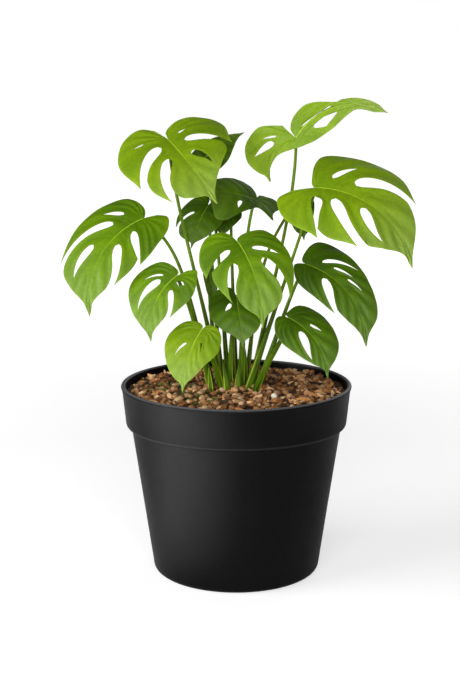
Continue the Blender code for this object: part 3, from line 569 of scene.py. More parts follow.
def chunk(random, corners, roundness):
    """A convex lump inside a unit ball, as points and triangles."""
    shape = bmesh.new()
    for _ in range(corners):
        way = random.normal(size=3)
        way /= np.linalg.norm(way)
        shape.verts.new(way * random.uniform(roundness, 1.0))
    hull = bmesh.ops.convex_hull(shape, input=shape.verts)
    inside = [v for v in hull["geom_interior"] if isinstance(v, bmesh.types.BMVert)]
    bmesh.ops.delete(shape, geom=inside, context="VERTS")
    bmesh.ops.recalc_face_normals(shape, faces=shape.faces)
    shape.verts.index_update()
    found = (np.array([v.co for v in shape.verts]), [[v.index for v in f.verts] for f in shape.faces])
    shape.free()
    return found


def turned_by(yaw, pitch, roll):
    """A rotation matrix from three angles in radians."""
    cy, sy, cp, sp, cr, sr = (f(a) for a in (yaw, pitch, roll) for f in (math.cos, math.sin))
    about_z = np.array([[cy, -sy, 0], [sy, cy, 0], [0, 0, 1]])
    about_y = np.array([[cp, 0, sp], [0, 1, 0], [-sp, 0, cp]])
    about_x = np.array([[1, 0, 0], [0, cr, -sr], [0, sr, cr]])
    return about_z @ about_y @ about_x


def joined_grains(name, shapes, grains, random, smooth):
    """Many grains as one mesh, with a colour at every point."""
    points, faces, colours = [], [], []
    for g in grains:
        shape, sides = shapes[int(random.integers(len(shapes)))]
        first = len(points)
        for p in shape:
            points.append(g.place + g.turn @ (p * g.size))
            colours.append(g.colour)
        faces += [[first + i for i in side] for side in sides]
    obj = new_mesh(name, np.array(points) * MM, faces, smooth)
    tint = obj.data.color_attributes.new("grain_colour", "FLOAT_COLOR", "POINT")
    tint.data.foreach_set("color", np.array(colours, float).ravel())
    print(name, len(grains), "grains,", len(faces), "faces")
    return obj


sample_chip = chunk(np.random.default_rng(BED_SEED), CHIP_CORNERS, CHIP_ROUNDNESS)
print("a chip of bark has", len(sample_chip[1]), "sides")

# %% [markdown]
# A leaf and its stalk are known by a few real sizes: where the blade starts and ends,
# how it bends, how far its margin stands from the stalk at some angles, and where it is
# split. They are the same values as in the solids, so the fine leaf stays where the
# plain one is. Bending a flat leaf is easier to control than sculpting it in space.

# %% Leaves and shoots of this plant
MARGIN_ANGLES = (155.0, 125.0, 90.0, 55.0, 25.0, 12.0)
VEIN_BOW = 0.10
FAN_SHARE = 0.42
Half = namedtuple("Half", "reach rise droop splits angles bows fan",
                  defaults=(MARGIN_ANGLES, (), FAN_SHARE))
# colour picks one of three greens; mid and deep are darker as painted shade.
Leaf = namedtuple("Leaf", "name stalk_end tip facing turns left right foot foot_radius course colour")

LEAVES = (
    Leaf("upper_left", (-49, 8, 319), (-13, -38, 277), (0.05, -0.8, 0.6), (25, 0, 0),
         Half((13, 27, 43, 45, 48, 54), 10, (35, 35),
              ((0.42, 0.41, 0.18, 0.34, 1.8), (0.53, 0.56, 0.20, 1.0, 7.6),
               (0.66, 0.75, 0.18, 0.72, 7.0))),
         Half((26, 34, 42, 48, 61, 62), 10, (35, 35),
              ((0.35, 0.34, 0.42, 0.64, 1.6), (0.51, 0.58, 0.20, 1.0, 10.5),
               (0.64, 0.77, 0.22, 1.0, 10.5))),
         (-13, 3), 2.7, (0.3, 0.40, 0.3, 0.0), "bright"),
    Leaf("upper_right", (43, 10, 320), (108, 0, 338), (-0.05, -0.92, 0.4), (36, -80, 0),
         Half((12, 18, 23, 27, 32, 38, 49), 5, (20, 20),
              ((0.55, 0.62, 0.14, 0.48, 22.0),), (60, 44, 33, 22, 12, 6, 6),
              (0.10, 0.10, 0.10, 0.10, 0.05, 0.0, 0.0)),
         Half((24, 37, 45, 44, 39, 36, 38, 31, 20, 10, 8, 14, 23, 34, 44, 52), 5, (40, 30),
              ((0.20, 0.20, 0.34, 0.62, 1.6), (0.27, 0.27, 0.40, 0.84, 5.5),
               (0.40, 0.40, 0.4, 0.7, 0.0), (0.755, 0.745, 0.24, 0.72, 22.0)),
              (262, 251, 234, 217, 199, 188, 178, 189, 197, 177, 110, 65, 40, 24, 11, 4),
              (0.10, 0.10, 0.10, 0.10, 0.16, 0.22, 0.28, 0.17) + (VEIN_BOW,) * 8, 0.56),
         (12, 3), 2.9, (1.0, 0.35, 0.3, 0.25), "bright"),
    Leaf("right", (57, -10, 286), (123, -40, 232), (0.15, -0.75, 0.65), (38, -66, 0),
         Half((3, 7, 33, 44, 59, 64, 73), 12, (42, 42),
              ((0.49, 0.51, 0.18, 0.54, 4.8), (0.60, 0.67, 0.19, 1.0, 11.0)),
              (155, 125, 90, 62, 42, 25, 12)),
         Half((29, 35, 39, 50, 70, 79), 10, (40, 40),
              ((0.41, 0.38, 0.20, 1.0, 8.0), (0.55, 0.70, 0.18, 1.0, 13.5),
               (0.70, 0.82, 0.14, 0.77, 12.0))),
         (9, -14), 3.6, (1.0, 0.35, 0.3, 0.45), "bright"),
    Leaf("left", (-67, -12, 264), (-102, -50, 200), (-0.2, -0.75, 0.62), (32, 66, 0),
         Half((18, 21, 25, 36, 57, 69), 10, (40, 40),
              ((0.52, 0.50, 0.18, 1.0, 8.0), (0.65, 0.76, 0.18, 1.0, 12.0))),
         Half((3, 10, 25, 41, 61, 69), 10, (42, 42),
              ((0.47, 0.47, 0.25, 0.60, 4.0), (0.56, 0.64, 0.21, 1.0, 8.5),
               (0.70, 0.79, 0.24, 0.77, 10.0))),
         (-18, -3), 2.9, (0.2, 0.60, 0.28, 1.6), "mid"),
    Leaf("centre", (1, -48, 252), (18, -75, 196), (0.1, -0.85, 0.5), (40, -25, 0),
         Half((3, 7, 22, 37, 51, 54), 10, (40, 40),
              ((0.52, 0.51, 0.16, 0.69, 3.4), (0.62, 0.73, 0.24, 1.0, 10.0))),
         Half((14, 23, 31, 37, 48, 53), 10, (40, 40),
              ((0.48, 0.48, 0.24, 1.0, 5.8), (0.61, 0.75, 0.28, 1.0, 11.0))),
         (3, -5), 2.9, (0.0, 0.85, 0.12, 0.0), "mid"),
    Leaf("lower_left", (-42, -42, 227), (-59, -60, 184), (-0.2, -0.8, 0.5), (30, 55, 0),
         Half((15, 15, 19, 24, 34, 39), 10, (40, 40),
              ((0.45, 0.34, 0.16, 0.50, 3.8), (0.58, 0.72, 0.22, 1.0, 7.0))),
         Half((4, 7, 17, 31, 36, 40), 10, (42, 42),
              ((0.49, 0.53, 0.22, 0.64, 1.8), (0.57, 0.74, 0.16, 0.78, 8.4))),
         (-18, -12), 2.7, (0.1, 0.50, 0.2, 0.8), "mid"),
    Leaf("lower_right", (49, -30, 234), (90, -58, 180), (0.15, -0.75, 0.6), (35, -60, 0),
         Half((4, 8, 24, 31, 45, 60), 12, (42, 42),
              ((0.50, 0.55, 0.20, 0.86, 4.2), (0.57, 0.64, 0.24, 0.52, 3.8),
               (0.66, 0.72, 0.28, 0.54, 3.8))),
         Half((8, 10, 16, 24, 43, 56), 10, (40, 40),
              ((0.59, 0.64, 0.14, 1.0, 11.5),)),
         (17, -10), 2.9, (0.9, 0.35, 0.3, 0.7), "deep"),
    Leaf("front_left", (-24, -52, 191), (-37, -72, 151), (-0.1, -0.85, 0.5), (30, 25, 0),
         Half((6, 11, 16, 22, 29, 36), 10, (40, 40),
              ((0.56, 0.66, 0.22, 0.48, 2.0),)),
         Half((4, 7, 14, 25, 33, 38), 10, (40, 40),
              ((0.61, 0.68, 0.22, 0.62, 2.4),)),
         (-11, -18), 2.6, (0.2, 0.45, 0.3, 0.3), "bright"),
    Leaf("front_right", (37, -45, 198), (63, -68, 160), (0.15, -0.75, 0.6), (30, -50, 0),
         Half((4, 6, 14, 23, 36, 42), 12, (42, 42),
              ((0.60, 0.65, 0.20, 0.44, 3.8),)),
         Half((8, 11, 17, 24, 36, 43), 10, (40, 40),
              ((0.63, 0.79, 0.14, 0.82, 12.0),)),
         (14, -19), 2.6, (0.6, 0.40, 0.3, 0.3), "deep"),
    Leaf("inner", (0, -29, 211), (5, -49, 177), (0, -0.9, 0.43), (35, 0, 0),
         Half((8, 12, 17, 22, 30, 33), 10, (40, 40), ()),
         Half((9, 14, 20, 25, 29, 31), 10, (40, 40),
              ((0.56, 0.60, 0.18, 0.46, 4.0),)),
         (-4, -8), 2.4, (0.0, 0.50, 0.3, 0.3), "deep"),
    Leaf("back_top", (13.5, 18, 275), (-25, 0, 282), (0, -0.55, 0.85), (30, 0, 0),
         Half((14, 24, 25, 19, 18, 21, 12, 8, 14, 24, 38, 44, 41), -5, (30, 30),
              ((0.66, 0.67, 0.28, 0.60, 4.5),),
              (215, 200, 185, 165, 148, 137, 128, 100, 61, 47, 40, 32, 20)),
         Half((3, 5, 12, 21, 31, 37), 20, (30, 30), ()),
         (4, 11), 2.4, (0.4, 0.40, 0.3, 0.0), "deep"),
    Leaf("back_left", (-21.2, 30, 269), (-33.3, 13, 239), (-0.3, -0.75, 0.6), (40, 0, 0),
         Half((14, 18, 18, 21, 27, 30), 10, (40, 40), ()),
         Half((12, 15, 19, 25, 31, 32), 10, (40, 40),
              ((0.58, 0.66, 0.3, 1.0, 3.0),)),
         (-11, 11), 2.4, (0.4, 0.40, 0.3, 0.0), "deep"),
    Leaf("behind_left", (-24, 38, 303), (6, 52, 322), (-0.1, -0.5, 0.86), (30, 0, 0),
         Half((12, 15, 17, 20, 24, 28), 10, (40, 40), ()),
         Half((12, 15, 17, 20, 24, 28), 10, (40, 40), ()),
         (-6, 15), 2.3, (0.4, 0.40, 0.3, 0.0), "deep"),
    Leaf("behind_right", (46.5, 43, 272), (50.5, 28, 243), (0, -0.8, 0.6), (35, 0, 0),
         Half((8, 10, 12, 14, 20, 26), 10, (40, 40), ()),
         Half((8, 10, 12, 14, 20, 26), 10, (40, 40), ()),
         (8, 13), 2.3, (0.0, 0.60, 0.3, 1.2), "deep"),
    Leaf("behind_centre", (-4, 40, 263), (-13, 30, 246), (-0.1, -0.8, 0.6), (30, 0, 0),
         Half((6, 8, 9, 10, 14, 18), 10, (40, 40), ()),
         Half((6, 8, 9, 10, 14, 18), 10, (40, 40), ()),
         (-1, 20), 2.2, (0.4, 0.40, 0.3, 0.0), "deep"),
    Leaf("young_left", (-20, -4, 226), (-16, -10, 201), (0, -0.9, 0.4), (10, 0, 0),
         Half((2, 3, 4, 6, 11, 18), 30, (20, 20), ()),
         Half((2, 3, 4, 6, 11, 18), 30, (20, 20), ()),
         (-13, -5), 2.2, (0.4, 0.40, 0.3, 0.0), "deep"),
)

Shoot = namedtuple("Shoot", "name foot tip height radius")

SHOOTS = (
    Shoot("front", (2, -21), (2, -22), 19, 2.7),
    Shoot("left", (-5, -20), (-10, -22), 22, 2.8),
    Shoot("far_left", (-17, -19), (-20, -20), 18, 2.0),
    Shoot("back", (6, 2), (7, 3), 26, 2.2),
)
print(len(LEAVES), "leaves and", len(SHOOTS), "shoots")

# %% [markdown]
# Now that the feet of the stalks are known, the bark can be scattered round them. The
# crumbs come first and the whole chips after them, and the pebbles lie only in the front
# middle. A particle system could scatter them too, but a plain loop with a seed puts every
# grain in the same place each time, clear of the stalks and of the wall.

# %% Scatter the substrate
feet = np.array([leaf.foot for leaf in LEAVES] + [shoot.foot for shoot in SHOOTS])


def free_place(random, reach):
    """A random spot of the bed that no stalk stands on."""
    while True:
        radius = reach * math.sqrt(random.uniform())
        turn = random.uniform(0, 2 * math.pi)
        spot = np.array([radius * math.cos(turn), radius * math.sin(turn)])
        if min(np.linalg.norm(spot - foot) for foot in feet) > CLEAR_OF_STALKS:
            return spot


def random_size(random, length, kind):
    """Length, width and height of a grain of this kind."""
    return np.array([length, length * random.uniform(*kind.widths), length * random.uniform(*kind.heights)])


def random_turn(random, tilt):
    """Turned any way round, and tilted by up to tilt."""
    return turned_by(random.uniform(0, 2 * math.pi), random.uniform(-tilt, tilt), random.uniform(-tilt, tilt))


def shaded(random, colour, spread):
    """The colour a little lighter or darker."""
    return tuple(np.clip(np.array(colour[:3]) * random.uniform(1 - spread, 1 + spread), 0, 1)) + (1.0,)


def mossy(spot):
    """How likely a chip at this spot is overgrown."""
    return MOSS_SHARE * max(1.0 - np.linalg.norm(spot - middle) / MOSS_REACH for middle in MOSS_SPOTS)


grains = []
for kind, colours in ((CRUMB, BARK_COLOURS[:DARK_BARKS]), (CHIP, BARK_COLOURS)):
    for _ in range(kind.count):
        length = random.uniform(*kind.lengths)
        spot = free_place(random, edge_radius - length - kind.wall_gap)
        size = random_size(random, length, kind)
        lift = random.uniform(*kind.lifts)
        turn = random_turn(random, kind.tilt)
        height = bed_height(*spot) + size[2] * kind.raised + lift
        colour = colours[int(random.integers(0, len(colours)))]
        if random.uniform() < mossy(spot):
            colour = MOSS_COLOUR
        grains.append(Grain(np.array([*spot, height]), size, turn, shaded(random, colour, CHIP_TONES)))
shapes = [chunk(random, CHIP_CORNERS, CHIP_ROUNDNESS) for _ in range(CHIP_SHAPES)]
chips = joined_grains("bark_chips", shapes, grains, random, False)

# %% Scatter the pebbles
grains = []
for _ in range(PEBBLE.count):
    length = random.uniform(*PEBBLE.lengths)
    spot = free_place(random, edge_radius - length - PEBBLE.wall_gap)
    while np.linalg.norm((spot - PEBBLE_MIDDLE) / PEBBLE_SPREAD) > 1.0:
        spot = free_place(random, edge_radius - length - PEBBLE.wall_gap)
    size = random_size(random, length, PEBBLE)
    turn = random_turn(random, PEBBLE.tilt)
    height = bed_height(*spot) + size[2] * PEBBLE.raised + random.uniform(*PEBBLE.lifts)
    colour = PEBBLE_COLOURS[int(random.integers(len(PEBBLE_COLOURS)))]
    grains.append(Grain(np.array([*spot, height]), size, turn, shaded(random, colour, PEBBLE_TONES)))
height = bed_height(*CREAM_SPOT) + CREAM_RADIUS + CREAM_LIFT
grains.append(Grain(np.array([*CREAM_SPOT, height]), CREAM_SHAPE * CREAM_RADIUS, turn, CREAM_COLOUR))
shapes = [chunk(random, PEBBLE_CORNERS, PEBBLE_ROUNDNESS) for _ in range(PEBBLE_SHAPES)]
pebbles = joined_grains("pebbles", shapes, grains, random, True)

# %% [markdown]
# Bark is dull and fibrous, and each chip has its own brown. The mesh carries that
# colour, and the material roughens it with patches and grain. The bed under the chips
# is the same stuff in the dark, so it takes one even deep brown with patches.

# %% Bark and pebble finishes
GRAIN_SHADES = (0.6, 1.25)
GRAIN_FINENESS = 3  # the bumps against the patches
BED_BROWNS = (srgb(46, 28, 15), srgb(96, 64, 38))
BED_PATCHES, BED_GRAINS = 260.0, 900.0


def grain_material(name, roughness, per_metre, depth):
    """Colour from the grains themselves, broken up by patches and a bumpy skin."""
    material, tree, skin, place = new_material(name, roughness)
    own = shader_node(tree, "Attribute", {}, attribute_name="grain_colour").outputs["Color"]
    shade = patchy(tree, place, per_metre, *GRAIN_SHADES)
    tree.links.new(mixed(tree, 1.0, own, shade, "MULTIPLY"), skin["Base Color"])
    bumped(tree, skin, grainy(tree, place, per_metre * GRAIN_FINENESS), strength=0.8, depth=depth)
    return material


bark = grain_material("bark", roughness=0.85, per_metre=500.0, depth=0.0008)
stone = grain_material("pebble_stone", roughness=0.6, per_metre=350.0, depth=0.0003)

dark_bark, tree, skin, place = new_material("dark_bark", roughness=0.95)
tree.links.new(mixed(tree, patchy(tree, place, BED_PATCHES, 0.0, 1.0), *BED_BROWNS), skin["Base Color"])
bumped(tree, skin, grainy(tree, place, BED_GRAINS), strength=0.9, depth=0.001)

for obj, material in ((bed, dark_bark), (chips, bark), (pebbles, stone)):
    finish_piece(obj, material, "bark", "substrate")
print("substrate pieces:", bed.name, chips.name, pebbles.name)

# %% [markdown]
# Half a leaf, laid flat, is a curved margin and a fan of side veins that start along the
# midrib. Any spot is then two numbers: how far along the half, from the notch round to
# the tip, and how far out from the midrib. Splits, veins and pleats all follow those two
# numbers, so they look grown rather than cut with a stamp.

# %% A smooth curve through a few points
CURVE_STEPS = 24  # from one given point to the next, before the curve is resampled


def unit(vector):
    """The same direction, one long."""
    vector = np.asarray(vector, float)
    return vector / np.linalg.norm(vector)


def smooth_curve(points, steps):
    """A centripetal Catmull-Rom curve through the points, evenly resampled."""
    points = np.array(points, float)
    points = np.vstack([2 * points[0] - points[1], points, 2 * points[-1] - points[-2]])
    dense = []
    for i in range(1, len(points) - 2):
        p0, p1, p2, p3 = points[i - 1:i + 3]
        t1 = np.linalg.norm(p1 - p0) ** 0.5
        t2 = t1 + np.linalg.norm(p2 - p1) ** 0.5
        t3 = t2 + np.linalg.norm(p3 - p2) ** 0.5
        for t in np.linspace(t1, t2, CURVE_STEPS, endpoint=False):
            a1 = (t1 - t) / t1 * p0 + t / t1 * p1
            a2 = (t2 - t) / (t2 - t1) * p1 + (t - t1) / (t2 - t1) * p2
            a3 = (t3 - t) / (t3 - t2) * p2 + (t - t2) / (t3 - t2) * p3
            b1 = (t2 - t) / t2 * a1 + t / t2 * a2
            b2 = (t3 - t) / (t3 - t1) * a2 + (t - t1) / (t3 - t1) * a3
            dense.append((t2 - t) / (t2 - t1) * b1 + (t - t1) / (t2 - t1) * b2)
    dense = np.array(dense + [points[-2]])
    run = np.concatenate([[0.0], np.cumsum(np.linalg.norm(np.diff(dense, axis=0), axis=1))])
    at = np.linspace(0.0, run[-1], steps)
    return np.stack([np.interp(at, run, dense[:, k]) for k in range(dense.shape[1])], axis=1)


print("a curve through 3 points has", len(smooth_curve([(0, 0), (1, 1), (2, 0)], 9)), "samples")

# %% The margin and the side veins
SINUS_TURN = 13.0
SINUS_SHARE = 0.62
NECK_AT = 0.88
NECK_WIDTH = 0.042
DRIP_AT = 0.95
DRIP_WIDTH = 0.014
BOW_START = 0.25
MIDRIB_CROWDING = 1.25
MARGIN_SAMPLES = 241
SAMPLE_LENGTH = 62.0
TINY = 1e-6


def polar(angle, radius):
    """A point from its angle in degrees and its distance."""
    return (radius * math.cos(math.radians(angle)), radius * math.sin(math.radians(angle)))


class FlatHalf:
    """Half a blade laid flat: the midrib along +X, the margin on the +Y side."""

    def __init__(self, half, length):
        self.length, self.fan = length, half.fan
        bows = half.bows or (VEIN_BOW,) * len(half.reach)
        ring = [(*polar(half.angles[0] + SINUS_TURN, SINUS_SHARE * half.reach[0]), bows[0])]
        ring += [(*polar(a, r), b) for a, r, b in zip(half.angles, half.reach, bows)]
        ring += [(NECK_AT * length, NECK_WIDTH * length, bows[-1]),
                 (DRIP_AT * length, DRIP_WIDTH * length, bows[-1]), (length, 0.0, bows[-1])]
        self.edge = smooth_curve(ring, MARGIN_SAMPLES)

    def midrib(self, along):
        """Where the side vein at this share of the half starts on the midrib."""
        share = min(max((along - self.fan) / (1.0 - self.fan), 0.0), 1.0)
        return np.array([self.length * share ** MIDRIB_CROWDING, 0.0])

    def point(self, along, out):
        """A spot of the half: along from the notch round to the tip, out from the midrib."""
        at = min(max(along, 0.0), 1.0) * (len(self.edge) - 1)
        low = min(int(at), len(self.edge) - 2)
        end_x, end_y, bow = self.edge[low] + (self.edge[low + 1] - self.edge[low]) * (at - low)
        start = self.midrib(along)
        chord = np.array([end_x, end_y]) - start
        bow *= min(max(along, 0.0) / BOW_START, 1.0)
        return start + chord * out + np.array([-chord[1], chord[0]]) * bow * 4.0 * out * (1.0 - out)

    def share_of(self, along, out, width):
        """How much of along this width in millimetres covers at this place."""
        step = 0.01
        spread = np.linalg.norm(self.point(along + step, out) - self.point(along - step, out))
        return width * 2.0 * step / max(spread, TINY)


sample = FlatHalf(LEAVES[0].left, SAMPLE_LENGTH)
print("widest place of the first half:", round(float(sample.edge[:, 1].max()), 1), "mm")

# %% [markdown]
# A monstera leaf is split between its side veins. A split that ends inside the leaf is a
# slot, and one that reaches the margin leaves two lobes. Cutting holes with a Boolean
# would leave ragged triangles, so the grid of the leaf simply parts there: each split is
# a pair of grid lines, one for each side, that meet where the leaf is whole.

# %% Splits
ROWS = 24
FIRST_ROW = 0.05
SPLIT_ROUNDING = 0.3
SPLIT_BEND = 1.5
SPLIT_TAPER = 1.6
BAY_MOUTH = 0.3
LOBE_SHOULDER, SHOULDER_FALL = 0.14, 5
LOBE_POINT, POINT_RISE = 0.05, 6
LEVELS = list(np.linspace(FIRST_ROW, 1.0, ROWS + 1))


def split_width(place, is_open):
    """Width of a split along its run, as shares of its widest on the near and far side."""
    inner = math.sqrt(1.0 - (1.0 - min(place / SPLIT_ROUNDING, 1.0)) ** 2)
    if is_open:
        return inner * 0.5 * (1.0 - place ** 2), inner * (0.5 - (0.5 - BAY_MOUTH) * place ** 2)
    tail = max(place - SPLIT_ROUNDING, 0.0) / (1.0 - SPLIT_ROUNDING)
    side = 0.5 * inner * (1.0 - tail ** SPLIT_TAPER)
    return side, side


def plain_line(along):
    """A grid line where the leaf is whole."""
    return {"near": [along] * (ROWS + 1), "far": [along] * (ROWS + 1), "level": LEVELS, "open": False}


def split_lines(flat, split):
    """The grid lines on both sides of a split, with a row exactly where it starts and ends."""
    at_start, at_end, start, end, width = split
    is_open = end >= 1.0
    step = (1.0 - FIRST_ROW) / ROWS
    first = min(max(int(round((start - FIRST_ROW) / step)), 1), ROWS - 2)
    final = ROWS if is_open else min(max(int(round((end - FIRST_ROW) / step)), first + 2), ROWS - 1)
    rows = [0, first, final] + ([] if is_open else [ROWS])
    level = list(np.interp(range(ROWS + 1), rows, [FIRST_ROW, start, end] + ([] if is_open else [1.0])))
    near, far = [], []
    for j in range(ROWS + 1):
        place = min(max((level[j] - start) / (end - start), 0.0), 1.0)
        apart = split_width(place, is_open) if first < j and (j < final or is_open) else (0.0, 0.0)
        at = at_start + (at_end - at_start) * place ** SPLIT_BEND
        share = flat.share_of(at, level[j], width)
        near.append(at - apart[0] * share)
        far.append(at + apart[1] * share)
    return {"near": near, "far": far, "level": level, "open": is_open}


def round_corner(level, share, start_open, end_open):
    """A lobe is round where it starts and drawn out to a point where it ends."""
    top = 1.0
    if start_open:
        top -= LOBE_SHOULDER * (1.0 - share) ** SHOULDER_FALL
    if end_open:
        top += LOBE_POINT * share ** POINT_RISE
    return [v * (1.0 + (top - 1.0) * v * v) for v in level]


print("rows across half a leaf:", ROWS)

# %% [markdown]
# The grid of a whole leaf: a midrib down the middle and two halves. Between two splits
# lies a lobe, and each lobe has one or more side veins. Every corner of every face
# remembers on which vein it lies, counted from the notch, and how far out. The finish
# reads those numbers later, so the painted veins run exactly where the pleats do.

# %% Grid of a leaf
RIB_SPACING = 0.115
COLUMNS_PER_RIB = 8
MIDRIB_STEPS = 34


class Sheet:
    """Flat points (x, y, out) and faces of one blade, each face with its vein counts."""

    def __init__(self, length):
        self.length = length
        self.points = [(length * k / MIDRIB_STEPS, 0.0, 0.0) for k in range(MIDRIB_STEPS + 1)]
        self.faces, self.ribs = [], []

    def add(self, flat, along, out, side):
        """A new point of the grid, and its number."""
        x, y = flat.point(along, out)
        self.points.append((x, side * y, out))
        return len(self.points) - 1

    def add_face(self, corners, ribs, side):
        """A face without its doubled corners, the same way up on both halves."""
        keep = [i for i, c in enumerate(corners) if c != corners[i - 1]]
        if len(keep) > 2:
            keep = keep[::-1] if side < 0 else keep
            self.faces.append([corners[i] for i in keep])
            self.ribs.append([ribs[i] for i in keep])

    def add_half(self, flat, splits, side):
        """Lobe after lobe, from the notch round to the tip."""
        lines = [plain_line(0.0)] + [split_lines(flat, s) for s in splits] + [plain_line(1.0)]
        rib, old, row = 0.0, None, []
        for n, (start, end) in enumerate(zip(lines, lines[1:])):
            ribs = max(1, int(round((end["near"][0] - start["far"][0]) / RIB_SPACING)))
            count = ribs * COLUMNS_PER_RIB
            for k in range(count + 1):
                share = k / count
                kept = [None] * (ROWS + 1)
                if k == 0 and old:
                    kept = [o if a == b else None for o, a, b in zip(old, start["near"], start["far"])]
                if k == count and n == len(splits):
                    kept = [MIDRIB_STEPS] * (ROWS + 1)
                new = self.column(flat, start, end, share, side, kept)
                here, back = rib + ribs * share, rib + ribs * (k - 1) / count
                for j in range(ROWS if k else 0):
                    self.add_face([old[j], new[j], new[j + 1], old[j + 1]],
                                  [back, here, here, back], side)
                if k or n == 0:
                    along = start["far"][0] + (end["near"][0] - start["far"][0]) * share
                    row.append((new[0], flat.midrib(along)[0], here))
                old = new
            rib += ribs
        self.join_midrib(row, side)

    def column(self, flat, start, end, share, side, kept):
        """One grid line across the half. Where kept names a point, that point serves."""
        along = [a + (b - a) * share for a, b in zip(start["far"], end["near"])]
        level = [a + (b - a) * share for a, b in zip(start["level"], end["level"])]
        level = round_corner(level, share, start["open"], end["open"])
        return [self.add(flat, a, o, side) if k is None else k for a, o, k in zip(along, level, kept)]

    def join_midrib(self, row, side):
        """Triangles between the midrib and the first row of points beside it."""
        i = j = 0
        while i < MIDRIB_STEPS or j < len(row) - 1:
            if i < MIDRIB_STEPS and (j == len(row) - 1 or self.points[i + 1][0] <= row[j + 1][1]):
                self.add_face([i, i + 1, row[j][0]], [row[j][2]] * 3, side)
                i += 1
            else:
                self.add_face([i, row[j + 1][0], row[j][0]], [row[j][2], row[j + 1][2], row[j][2]], side)
                j += 1


print("veins stand", RIB_SPACING, "of a half apart")

# %% [markdown]
# Now the flat leaf is bent. The midrib takes one steady bend, which may arch, sweep
# sideways and twist at once, and each half rises from it and then droops towards the
# margin. A curve modifier could bend it too, but this keeps every length on the leaf.

# %% Bend of a leaf


class Pose:
    """Bends the flat blade and carries it to its place on the plant."""

    def __init__(self, leaf):
        self.leaf = leaf
        self.base = np.array(leaf.stalk_end, float)
        chord = np.array(leaf.tip, float) - self.base
        arch, sweep, twist = (math.radians(turn) for turn in leaf.turns)
        bend = np.array([twist, arch, sweep])
        self.bend = np.linalg.norm(bend)
        x, y, z = bend / self.bend
        self.axis = np.array([[0, -z, y], [z, 0, -x], [-y, x, 0]])
        self.length = 1.0
        end, _ = self.spine(1.0)
        middle = self.spine(0.5)[1][:, 2]
        self.length = np.linalg.norm(chord) / np.linalg.norm(end)
        inner = self.triad(end, middle)
        self.turned = self.triad(chord, np.array(leaf.facing, float)) @ inner.T

    def triad(self, forward, normal):
        """Three square axes: forward, across and the side of normal."""
        forward = unit(forward)
        normal = unit(normal - forward * np.dot(normal, forward))
        return np.stack([forward, np.cross(normal, forward), normal], axis=1)

    def spine(self, x):
        """Place and axes of the midrib this far from the stalk."""
        share = max(x / self.length, 0.0)
        angle = self.bend * share
        around = self.axis
        turn = np.eye(3) + math.sin(angle) * around + (1 - math.cos(angle)) * around @ around
        run = (share * np.eye(3) + (1 - math.cos(angle)) / self.bend * around
               + (share - math.sin(angle) / self.bend) * around @ around)
        return run[:, 0] * self.length + turn[:, 0] * min(x, 0.0), turn

    def place(self, x, y):
        """World position in millimetres of a point of the flat blade."""
        side = self.leaf.left if y >= 0 else self.leaf.right
        spine, axes = self.spine(x)
        rise = math.radians(side.rise)
        share = min(max(x / self.length, 0.0), 1.0)
        droop = math.radians(side.droop[0] + (side.droop[1] - side.droop[0]) * share)
        width = max(side.reach[1:4])
        turned = rise - droop * abs(y) / width
        sideways = width / droop * (math.sin(rise) - math.sin(turned))
        lift = width / droop * (math.cos(turned) - math.cos(rise))
        local = spine + axes[:, 1] * math.copysign(sideways, y) + axes[:, 2] * lift
        return self.base + self.turned @ local


print("midrib of", LEAVES[0].name, "is", round(Pose(LEAVES[0]).length, 1), "mm long")

# %% [markdown]
# A monstera blade is quilted: it sinks along each side vein and swells between them. It
# is thin at the margin, and its midrib stands out underneath like a cord. All of this
# is moved in the mesh, on both faces, because it shows in the outline and the sheen. A
# Solidify modifier would give one even thickness and no midrib.

# %% Pleats
PLEAT_DEPTH = 0.011  # of the leaf's length
PLEAT_SHARE = 0.09  # of the space between two side veins
PLEAT_SINK = 0.85  # how much of the swelling lies under the plain sheet
PLEAT_STARTS = (0.02, 0.3)  # out from the midrib
PLEAT_FADE = 0.75
LEAST_CROWDING = 1e-3


def normals_of(points, faces):
    """The average direction of the faces round every point."""
    total = np.zeros_like(points)
    for face in faces:
        a, b, c = points[face[0]], points[face[1]], points[face[-1]]
        total[face] += np.cross(b - a, c - a)
    return total / np.maximum(np.linalg.norm(total, axis=1), TINY ** 2)[:, None]


def smooth_step(value, low, high):
    """From 0 at low to 1 at high, soft at both ends."""
    share = np.clip((value - low) / (high - low), 0.0, 1.0)
    return share * share * (3.0 - 2.0 * share)


def pleat_height(rib, out):
    """Swelling between the side veins, from 0 to 1."""
    swell = 0.5 + 0.5 * np.cos(2.0 * math.pi * rib)
    return swell * smooth_step(out, *PLEAT_STARTS) * (1.0 - PLEAT_FADE * out ** 2)


def vein_room(sheet, flat):
    """The space between two side veins at every point, in mm."""
    crowding = np.full(len(flat), LEAST_CROWDING)
    for face, ribs in zip(sheet.faces, sheet.ribs):
        for k, point in enumerate(face):
            near = face[k - 1]
            away = math.hypot(flat[point][0] - flat[near][0], flat[point][1] - flat[near][1])
            veins = abs(ribs[k] - ribs[k - 1]) / max(away, TINY)
            for end in (point, near):
                crowding[end] = max(crowding[end], veins)
    return 1.0 / crowding


print("pleats up to", round(PLEAT_DEPTH * 100, 1), "% of a leaf's length deep")

# %% Thick blade
BLADE_THICKNESS = 0.5
MARGIN_THICKNESS = 0.22
MIDRIB_HEIGHT = 0.9
MIDRIB_TAPER = 0.85
GROOVE_DEPTH = 0.25
WIDE_QUILT = 9.0  # mm between side veins, from where they show in full


def rim_edges(faces):
    """Edges with one face, in the direction of that face."""
    seen = {}
    for face in faces:
        for a, b in zip(face, face[1:] + face[:1]):
            seen[(min(a, b), max(a, b))] = None if (min(a, b), max(a, b)) in seen else (a, b)
    return [edge for edge in seen.values() if edge]


